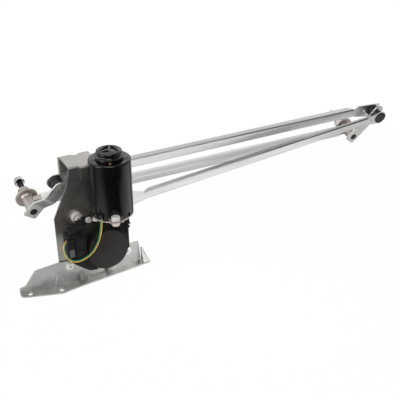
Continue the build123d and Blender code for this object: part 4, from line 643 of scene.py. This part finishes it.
def spindle_surface(side):
    """Grid of a spindle from its head to its tip.

    On the cone radius = cone - groove_depth * sin(groove_count / 2 * angle) ** 2, faded at both ends,
    and on the thread radius = core + depth * wave(height / pitch - angle / turn).
    """
    columns = 160
    angle = around(columns)
    plain = np.array((
        (0.0, -44.8), (6.6, -44.8), (head_radius, -44.4), (head_radius, -44.0), (shaft_radius, -44.0),
        (shaft_radius, 17.2), (circlip_radius, 17.2), (circlip_radius, 18.3), (shaft_radius, 18.3),
        (shaft_radius, cone_low),
    ))
    cone_height = np.linspace(cone_low, cone_high, 26)
    cone_radius = np.linspace(shaft_radius, cone_end_radius, 26)
    fade_in = np.clip((cone_height - cone_low) / 2.0, 0.0, 1.0)
    fade_out = np.clip((cone_high - cone_height) / 3.0, 0.0, 1.0)
    knurl = groove_depth * np.sin(groove_count / 2 * angle) ** 2
    thread_height = np.linspace(cone_high, thread_high, 70)
    climb = thread_height[:, None] / thread_pitch - angle[None, :] / (2.0 * pi)
    wave = np.abs(climb % 1.0 - 0.5) * 2.0
    run_out = np.clip((thread_high - thread_height) / 1.2, 0.0, 1.0)[:, None]
    radius = np.vstack((
        np.repeat(plain[:, :1], columns, axis=1),
        cone_radius[:, None] - (fade_in * fade_out)[:, None] * knurl[None, :],
        thread_core + thread_depth * wave * run_out,
        np.zeros((1, columns)),
    ))
    height = np.concatenate((plain[:, 1], cone_height, thread_height, [thread_high]))
    return turned(radius, height, pivots[side] * along, columns=columns)


for side in pivots:
    name = f"{side}_knurled_spindle"
    spindle = add_piece(name, grid_mesh(name, spindle_surface(side)), f"{side}_wiper", "black_steel",
                        (f"{side}_spindle",), angle=50.0)
    print(spindle.name, "faces", len(spindle.data.polygons))

# %% [markdown]
# ## The rubber cap on the motor
# The cap keeps spray out of the top bearing. It is a turned form with three moulded pockets, so
# its height is the turned profile less a pocket depth. A pocket is a triangle: a point is inside
# when its distances from the three sides are all positive, and a clipped slope gives the walls.

# %% Mould the cap
cap_top, cap_crown = 120.9, 0.6
disc_edge = 19.0
pocket_turns = (2.0, 122.0, 242.0)
pocket_inner, pocket_outer, pocket_depth, pocket_wall = 2.2, 13.0, 4.0, 1.1
ring_radius, ring_width, ring_depth = 16.4, 0.7, 0.7


def cap_surface():
    """Grid of the cap: turned profile, then z = top - pocket(x, y) - ring(x, y) on the top disc.

    pocket = pocket_depth * clip(distance inside the triangle / pocket_wall), and
    ring = ring_depth * exp(-((distance from axis - ring_radius) / ring_width) ** 2).
    """
    profile = np.array((
        (0.0, 108.0), (25.2, 108.0), (26.0, 108.5), (26.1, 109.4), (25.6, 110.2), (23.0, 110.9),
        (21.6, 112.0), (21.4, 113.6), (21.8, 114.7), (23.0, 115.4), (23.5, 116.5), (23.5, 118.6),
        (22.8, 119.9), (21.4, 120.6), (20.0, cap_top),
    ))
    disc = np.concatenate((np.linspace(disc_edge, 0.6, 48), [0.0]))
    radius = np.concatenate((profile[:, 0], disc))[:, None]
    height = np.concatenate((profile[:, 1], cap_top + cap_crown * (1.0 - (disc / disc_edge) ** 2)))[:, None]
    angle = around(144)
    x, y = radius * np.cos(angle), radius * np.sin(angle)
    pocket = np.zeros_like(x)
    for turn in np.radians(pocket_turns):
        # The triangle's inner corner points at the axis, its base lies outwards, and its other
        # two sides lean by 30 degrees, whose cosine and sine weigh the way out and the way aside
        out = x * np.cos(turn) + y * np.sin(turn)
        aside = np.abs(y * np.cos(turn) - x * np.sin(turn))
        inside = np.minimum(pocket_outer - out, (out - pocket_inner) * 0.86 - aside * 0.5)
        pocket = np.maximum(pocket, np.clip(inside / pocket_wall, 0.0, 1.0) * pocket_depth)
    ring = np.exp(-((radius - ring_radius) / ring_width) ** 2) * ring_depth
    on_top = height > 120.0
    return np.stack((x, y, height - (pocket + ring) * on_top), axis=-1) + motor_axis


cap = add_piece("moulded_cap", grid_mesh("moulded_cap", cap_surface()), "frame", "black_rubber",
                ("motor_cap",), angle=50.0)
print("cap faces", len(cap.data.polygons))

# %% [markdown]
# ## Small forms from outlines
# Many details are a flat outline given a thickness: ribs, tabs, panels, bolt heads. A point of
# such a form is origin + across * a + up * b + away * c, with a and b from the outline and c
# either of two depths. Two end faces and a band of quads close it.

# %% A helper for forms with a constant outline
level = ((1, 0, 0), (0, 1, 0))          # an outline of x and y, whose depth runs up
front = ((1, 0, 0), (0, 0, 1))          # an outline of x and z, whose depth runs towards the viewer


def prism(outline, origin, across, up, depth):
    """Closed form: origin + across * a + up * b + away * c, c = 0 or depth, away = across x up (mm)."""
    outline = np.asarray(outline, float)
    across, up = np.asarray(across, float), np.asarray(up, float)
    flat = np.asarray(origin, float) + outline[:, :1] * across + outline[:, 1:] * up
    points = np.vstack((flat, flat + np.cross(across, up) * depth)) * MM
    count = len(outline)
    here = np.arange(count)
    after = (here + 1) % count
    sides = np.stack((here, after, after + count, here + count), axis=-1).tolist()
    ends = [here[::-1].tolist(), (here + count).tolist()]
    mesh = bpy.data.meshes.new("prism")
    mesh.from_pydata(points.tolist(), [], sides + ends)
    return mesh


def joined(name, meshes):
    """One mesh out of several, so that a family of like forms is one piece."""
    work = bmesh.new()
    for mesh in meshes:
        work.from_mesh(mesh)
        bpy.data.meshes.remove(mesh)
    mesh = bpy.data.meshes.new(name)
    work.to_mesh(mesh)
    work.free()
    return mesh


def oval(wide, high, turn):
    """Outline of an ellipse with two half axes, turned by an angle in degrees."""
    angle = around(32)
    a, b = wide * np.cos(angle), high * np.sin(angle)
    c, s = cos(radians(turn)), sin(radians(turn))
    return np.stack((a * c - b * s, a * s + b * c), axis=-1)


def rectangle(left, low, right, high):
    """Outline of a rectangle from two corners."""
    return np.array(((left, low), (right, low), (right, high), (left, high)))


print("an oval has", len(oval(2.0, 1.0, 0.0)), "points")

# %% [markdown]
# ## Details of the motor can
# The can's end has vents round the cap, drawn as flat dark ovals of painted shade that stand a
# little proud of the end, and one rivet with a yellow chromate coat. At its rim a locating slot is
# pressed, shaped like a hook, and drawn as a thin dark strip of painted shade, and the rim itself
# is a thin seam. Slot and seam follow the can, so each is a strip of angle and height that is laid
# on the cylinder.

# %% Dress the can
can_radius = 39.0
vent_turns = (178.0, 106.0, 34.0, -36.0)
vent_distance, vent_base, vent_height = 30.5, 104.4, 0.75
slot_cuts = (((-70.0, -67.6), -3.5, 10.5), ((-70.0, -56.0), 10.0, 12.0), ((-58.0, -56.0), 12.0, 14.0))
slot_radius, slot_thickness = can_radius - 0.1, 0.25
rim_radius, rim_thickness = can_radius - 0.05, 0.5
strip_steps = 12


def wrapped(arc, low, high, radius, thick):
    """Strip on the can: point = axis + radius * (cos, sin) + height, over an arc in degrees (mm)."""
    angle = np.radians(np.linspace(*arc, strip_steps))
    ring = np.stack((np.cos(angle), np.sin(angle), 0.0 * angle), axis=-1)
    loop = np.array(((radius, low), (radius + thick, low), (radius + thick, high), (radius, high)))
    points = motor_axis + ring[:, None, :] * loop[None, :, :1] + upward * loop[None, :, 1:]
    mesh = grid_mesh("strip", points)
    work = bmesh.new()
    work.from_mesh(mesh)
    bmesh.ops.holes_fill(work, edges=work.edges, sides=4)
    work.to_mesh(mesh)
    work.free()
    return mesh


# Each vent is a flat matte dark oval that stands a little proud of the can's end: painted shade for the
# inside of the vent
vent_shades = [prism(oval(4.2, 7.5, turn), beside_motor(turn, vent_distance, vent_base), *level, vent_height)
         for turn in vent_turns]
add_piece("can_vent_shades", joined("can_vent_shades", vent_shades), "frame", "ferrite", radius=0.1)
rivet = turned((0.0, 2.4, 2.5, 2.2, 1.2, 0.0), (0.0, 0.0, 0.7, 1.3, 1.7, 1.8), (117.5, -150.8, 105.0),
               axis=upward, columns=32)
add_piece("can_rivet", grid_mesh("can_rivet", rivet), "frame", "brass_chromate")
# The slot is a thin matte dark strip laid on the can: painted shade for the inside of the slot
slot_shade_parts = [wrapped(arc, low, high, slot_radius, slot_thickness) for arc, low, high in slot_cuts]
add_piece("can_slot_shade", joined("can_slot_shade", slot_shade_parts), "frame", "ferrite")
rim = wrapped((0.0, 359.9), -5.0, -3.8, rim_radius, rim_thickness)
add_piece("can_rim", rim, "frame", "black_paint", angle=60.0)
print("can details:", len(vent_shades), "vents,", len(slot_shade_parts), "slot cuts")

# %% [markdown]
# ## Details of the gearbox cover
# The cover is moulded in black plastic: a round drum over the worm wheel, a flat shoulder with
# short ribs, and stepped fingers that hold the connector. The ribs, teeth and fingers are rows of
# bars, so each row is one rectangle and the step to its neighbour.

# %% Dress the cover


def bars(steps, first, step, y, depth, back=0.0):
    """Row of bars: bar i is the rectangle first + step * i, its front at y + back * i (mm)."""
    return [prism(rectangle(*(np.array(first) + np.array(step) * i)), (0.0, y + back * i, 0.0), *front, depth)
            for i in steps]


ribs = bars(range(5), (124.0, -24.5, 126.2, -9.5), (4.6, -4.5, 4.6, -2.0), -149.5, -4.6)
# Every other tooth stands a little further left
teeth = (bars((0, 2), (148.0, -13.0, 151.0, -9.2), (0.0, -7.0, 0.0, -7.0), -147.5, -9.0)
         + bars((1, 3), (146.8, -13.0, 149.8, -9.2), (0.0, -7.0, 0.0, -7.0), -147.5, -9.0))
fingers = bars(range(4), (33.0, -19.0, 37.2, -13.2), (6.6, 1.9, 6.6, 1.9), -150.5, -6.5, back=0.8)
skirt_outline = ((25.5, -62.0), (25.5, -70.0), (38.5, -82.5), (55.0, -96.5), (66.0, -104.0),
                 (80.0, -106.5), (90.0, -98.0), (90.0, -62.0))
skirt = prism(skirt_outline, (0.0, -147.0, 0.0), *front, -3.0)
add_piece("cover_ribs", joined("cover_ribs", ribs + teeth + fingers + [skirt]), "frame", "black_plastic",
          radius=0.3)
drum_centre = wheel_centre + 33.5 * forward
drum_face = turned((0.0, 37.6, 37.9, 37.9, 37.4, 0.0), (0.15, 0.15, 0.05, -0.6, -0.6, -0.6), drum_centre,
                   axis=forward, columns=128)
add_piece("drum_face", grid_mesh("drum_face", drum_face), "frame", "drum_plastic",
          angle=40.0)
print("cover details:", len(ribs), "ribs,", len(teeth), "teeth,", len(fingers), "fingers")

# %% [markdown]
# ## The can's two screws
# Two hexagon screws clamp the can to the casting. Each stands on a thin cast tab that is wider than
# the lug below it. Both are flat outlines with a thickness, so the prism helper makes them, and
# the tab's outline is given as the way round the can and the way out from it.

# %% Set the screw heads and their tabs
pad_top = 2.6
hexagon_turn, hexagon_radius, hexagon_height = 31.6, 7.85, 7.1
tab_outline = ((-12.0, -14.0), (15.5, -14.0), (15.5, 4.0), (11.0, 7.2), (-8.0, 7.2), (-12.0, 5.0))
tab_thickness = 3.2


def lug_tab(turn):
    """Tab under a screw: the outline's first number runs round the can, its second outwards (mm)."""
    c, s = cos(radians(turn)), sin(radians(turn))
    middle = beside_motor(turn, lug_distance, pad_top)
    return prism(tab_outline, middle, (-s, c, 0.0), (c, s, 0.0), tab_thickness)


corners = radians(hexagon_turn) + around(6)
hexagon = hexagon_radius * np.column_stack((np.cos(corners), np.sin(corners)))
heads = [prism(hexagon, beside_motor(turn, lug_distance, pad_top), *level, hexagon_height)
         for turn in lug_turns]
add_piece("motor_bolt_heads", joined("motor_bolt_heads", heads), "frame", "bolt_zinc",
          radius=0.5)
tabs = [lug_tab(turn) for turn in lug_turns]
add_piece("screw_tabs", joined("screw_tabs", tabs), "frame", "cast_zinc", radius=0.5)
print("screw heads:", len(heads), "tabs:", len(tabs))

# %% [markdown]
# ## Small things round the fasteners
# Each of the foot's bolts has a small round end in the middle of its head, in a darker zinc that
# paints the shade of the hollow there, a black collar stands round the cover's screw, and each
# spindle housing's neck has a rolled collar above its nut. The round ones are turned from a profile
# of radius and height, and the black one is three plates.

# %% Set the round ends in the foot's bolts
foot_bolt_places = (45.5, 165.0)
foot_bolt_y, foot_bolt_z = -93.0, -121.0
# The ends are darker than the heads round them: painted shade for the hollow at each head's centre
ends = [grid_mesh("end", turned((0.0, 3.2, 3.4, 3.4, 0.0), (0.3, 0.3, 0.1, -0.6, -0.6),
                                (x, foot_bolt_y, foot_bolt_z), axis=forward, columns=32))
        for x in foot_bolt_places]
add_piece("foot_bolt_shaded_ends", joined("foot_bolt_shaded_ends", ends), "frame", "nut_zinc", angle=40.0)
print("bolt ends:", len(ends))

# %% Put a collar round the cover's screw
collar_back, collar_sides = (78.0, -114.5, -12.6), (78.0, -116.6, -12.6)
plates = [
    prism(rectangle(-10.0, 0.0, 10.0, 5.5), collar_back, *front, -2.2),
    prism(rectangle(-10.0, 0.0, -8.0, 4.0), collar_sides, *front, 17.0),
    prism(rectangle(8.2, 0.0, 10.2, 4.6), collar_sides, *front, 17.0),
]
add_piece("screw_collar", joined("screw_collar", plates), "frame", "black_rubber",
          radius=0.3)
print("collar plates:", len(plates))

# %% Roll a collar on each housing's neck
neck_radius = (9.1, 9.1, 7.0, 7.0, 9.8, 10.9, 10.9, 9.1)
neck_height = (15.0, 18.7, 18.7, 20.4, 20.4, 19.2, 15.0, 15.0)
collars = [grid_mesh("collar", turned(neck_radius, neck_height, x * along, columns=64))
           for x in pivots.values()]
add_piece("neck_collars", joined("neck_collars", collars), "frame", "nut_zinc",
          angle=35.0, radius=0.2)
print("neck collars:", len(collars))

# %% [markdown]
# ## Details of the connector
# The connector's housing has moulded panels with a gap between them, a rib on its right, and a
# step at its top. Light catches their edges, so each is a solid form of its own and not a line
# in a material.

# %% Dress the connector
panel_y, rib_y, step_y = -158.0, -157.6, -155.0
side_panel = ((26.0, -34.0), (36.0, -33.0), (36.0, -68.0), (32.5, -68.5), (26.0, -60.0))
panels = [
    prism(side_panel, (0.0, panel_y, 0.0), *front, 1.3),
    prism(rectangle(39.5, -46.5, 55.0, -27.0), (0.0, panel_y, 0.0), *front, 1.6),
    prism(rectangle(39.5, -70.5, 53.0, -49.0), (0.0, panel_y, 0.0), *front, 1.2),
    prism(rectangle(56.6, -74.0, 58.8, -27.0), (0.0, rib_y, 0.0), *front, 2.4),
    prism(rectangle(27.0, -24.4, 50.0, -20.8), (0.0, step_y, 0.0), *front, -9.0),
]
add_piece("connector_panels", joined("connector_panels", panels), "frame", "black_plastic",
          radius=0.4)
print("connector panels:", len(panels))

# %% [markdown]
# ## The face of the front socket
# The socket nearest to the viewer has a raised ring and a small boss on its closed end, where the
# mould was fed. They are turned about the ball stud's axis, which leans with the spindles.

# %% Ring the front socket
lever_reach, lever_turn = 72.3, 52.7        # the ball stud's place on the right lever
ball_x = lever_reach * cos(radians(lever_turn))
ball_up = lever_reach * sin(radians(lever_turn))
face_depth = 61.8
ring_middle, ring_half = 9.4, 0.9


def socket_face(centre):
    """Half round ring, radius = middle - half * cos, height = 0.75 * sin, and a boss at its centre."""
    half_turn = np.linspace(0.0, pi, 12)
    ring = turned(ring_middle - ring_half * np.cos(half_turn), 0.75 * np.sin(half_turn) - 0.1, centre,
                  axis=-spindle_out, columns=72)
    boss = turned((2.6, 2.6, 2.2, 1.2, 0.0), (-0.9, 0.3, 0.7, 0.85, 0.85), centre, axis=-spindle_out,
                  columns=40)
    return joined("front_socket_face", [grid_mesh("ring", ring), grid_mesh("boss", boss)])


face_centre = (pivots["right"] + ball_x) * along + ball_up * lift - face_depth * spindle_out
add_piece("front_socket_face", socket_face(face_centre), "drive", "socket_plastic")
print("front socket's face at", face_centre.round(1))

# %% [markdown]
# ## The end of the foot
# The foot plate's right end is folded into a small corner gusset that leans on the web. It is a
# block that narrows upwards, so four corners at the foot and four at the top say all of it.

# %% Fold the corner gusset
gusset_low, gusset_high = -151.0, -119.0
gusset_corners = (
    (192.5, -91.5, gusset_low), (209.5, -91.5, gusset_low), (205.0, -103.0, gusset_low),
    (193.5, -103.5, gusset_low), (192.8, -91.5, gusset_high), (196.2, -91.5, gusset_high),
    (195.4, -94.5, gusset_high - 0.6), (193.0, -94.5, gusset_high - 0.6),
)
gusset_faces = [(3, 2, 1, 0), (4, 5, 6, 7), (0, 1, 5, 4), (1, 2, 6, 5), (2, 3, 7, 6), (3, 0, 4, 7)]
gusset = bpy.data.meshes.new("corner_gusset")
gusset.from_pydata((np.array(gusset_corners) * MM).tolist(), [], gusset_faces)
add_piece("corner_gusset", gusset, "frame", "foot_zinc", radius=0.6)
print("corner gusset:", len(gusset_faces), "faces")

# %% [markdown]
# ## Worm, wheel and windings
# Inside the gearbox a one-start worm turns a plastic wheel of 36 teeth. The worm's thread is a wave
# of height less angle, so it climbs one pitch in a turn. The wheel's teeth are a wave of 36 times
# the angle, twisted a little along the wheel so that they lie along the thread.

# %% Cut the worm and its wheel
wheel_teeth, wheel_module = 36, 1.0
worm_low, worm_high, worm_pitch = -85.0, -41.0, pi * wheel_module
worm_shaft = 4.0
wheel_half_width, wheel_root, tooth_height, tooth_twist = 6.0, 16.4, 2.1, 0.006


def worm_surface():
    """Grid of the armature shaft: radius = shaft + 0.4 + 1.55 * wave(height / pitch - angle / turn)."""
    columns = 64
    height = np.linspace(worm_low, worm_high, 340)
    phase = (height[:, None] / worm_pitch - around(columns)[None, :] / (2.0 * pi)) % 1.0
    wave = np.clip(1.5 - 3.4 * np.abs(phase - 0.5), 0.0, 1.0)
    ends = np.clip((height - worm_low) / 2.5, 0.0, 1.0) * np.clip((worm_high - height) / 2.5, 0.0, 1.0)
    worm = worm_shaft + (0.4 + 1.55 * wave) * ends[:, None]
    low = np.array(((0.0, -91.0), (3.6, -91.0), (worm_shaft, -90.6), (worm_shaft, worm_low)))
    high = np.array(((worm_shaft, worm_high), (worm_shaft, 108.4), (3.4, 109.0), (0.0, 109.0)))
    radius = np.vstack((np.repeat(low[:, :1], columns, 1), worm, np.repeat(high[:, :1], columns, 1)))
    return turned(radius, np.concatenate((low[:, 1], height, high[:, 1])), motor_axis, axis=upward,
                  columns=columns)


def wheel_surface():
    """Grid of the wheel: radius = root + tooth_height * tooth(teeth * (angle + twist * depth)).

    The grid goes round the rim, down one waisted side, through the bore and back up the other side.
    """
    columns = wheel_teeth * 12
    depth = np.linspace(-wheel_half_width, wheel_half_width, 13)
    wave = np.cos(wheel_teeth * (around(columns)[None, :] + depth[:, None] * tooth_twist))
    tooth = wheel_root + tooth_height * np.clip(0.5 + 0.9 * wave, 0.0, 1.0)
    waist = np.array(((15.2, 6.0), (14.4, 4.6), (9.8, 4.6), (9.0, 6.0), (6.05, 6.0)))
    side = np.vstack((waist, waist[::-1] * (1.0, -1.0)))
    radius = np.vstack((tooth, np.repeat(side[:, :1], columns, 1), tooth[:1]))
    height = np.concatenate((depth, side[:, 1], depth[:1]))
    return turned(radius, height, wheel_centre, axis=-forward, columns=columns)


add_piece("threaded_worm", grid_mesh("threaded_worm", worm_surface()), "armature", "bright_zinc",
          ("armature_shaft",), angle=40.0)
add_piece("toothed_wheel", grid_mesh("toothed_wheel", wheel_surface()), "crank", "white_plastic",
          ("worm_wheel",), angle=35.0)
print("worm pitch", round(worm_pitch, 3), "wheel teeth", wheel_teeth)

# %% Wind the armature
coil_heights = (80.5, 25.8)
coil_radius, coil_wide, coil_high = 14.2, 5.6, 4.2


def winding_surface(height):
    """Grid of the coil ends: a torus at a height, swollen at each of the ten slots by a cosine."""
    angle = around(240)
    section = np.linspace(0.0, 2.0 * pi, 24)[:, None]
    swell = 1.0 + 0.16 * np.cos(10.0 * angle) + 0.03 * np.cos(110.0 * angle)
    radius = coil_radius + coil_wide * np.cos(section) * swell
    rise = height + coil_high * np.sin(section) * swell
    return motor_axis + np.stack((radius * np.cos(angle), radius * np.sin(angle), rise), axis=-1)


coils = [grid_mesh("coil", winding_surface(height)) for height in coil_heights]
add_piece("coil_ends", joined("coil_ends", coils), "armature", "copper", angle=60.0)
print("coil ends:", len(coils))

# %% [markdown]
# ## The pieces that stay as CAD made them
# Bushes, circlips, brushes and magnets sit inside the others, so the CAD form is fine enough. They
# only need a finish. Each one's slot names its finish, apart from three slots whose finish has a
# name of its own here.

# %% Give every CAD node its finish
slot_finish = {"satin_zinc": "rod_zinc", "green_insulation": "green_skin", "yellow_insulation": "yellow_skin"}
subparts = frame["record"]["subparts"]
for part in subparts:
    slot = part["material_slot"]
    for holder in nodes[part["node"]].material_slots:
        holder.material = finishes[slot_finish.get(slot, slot)]
green_wire.data.materials.append(finishes["green_skin"])
yellow_wire.data.materials.append(finishes["yellow_skin"])
print("CAD nodes finished:", len(subparts))

# %% Update the scene
bpy.context.view_layer.update()
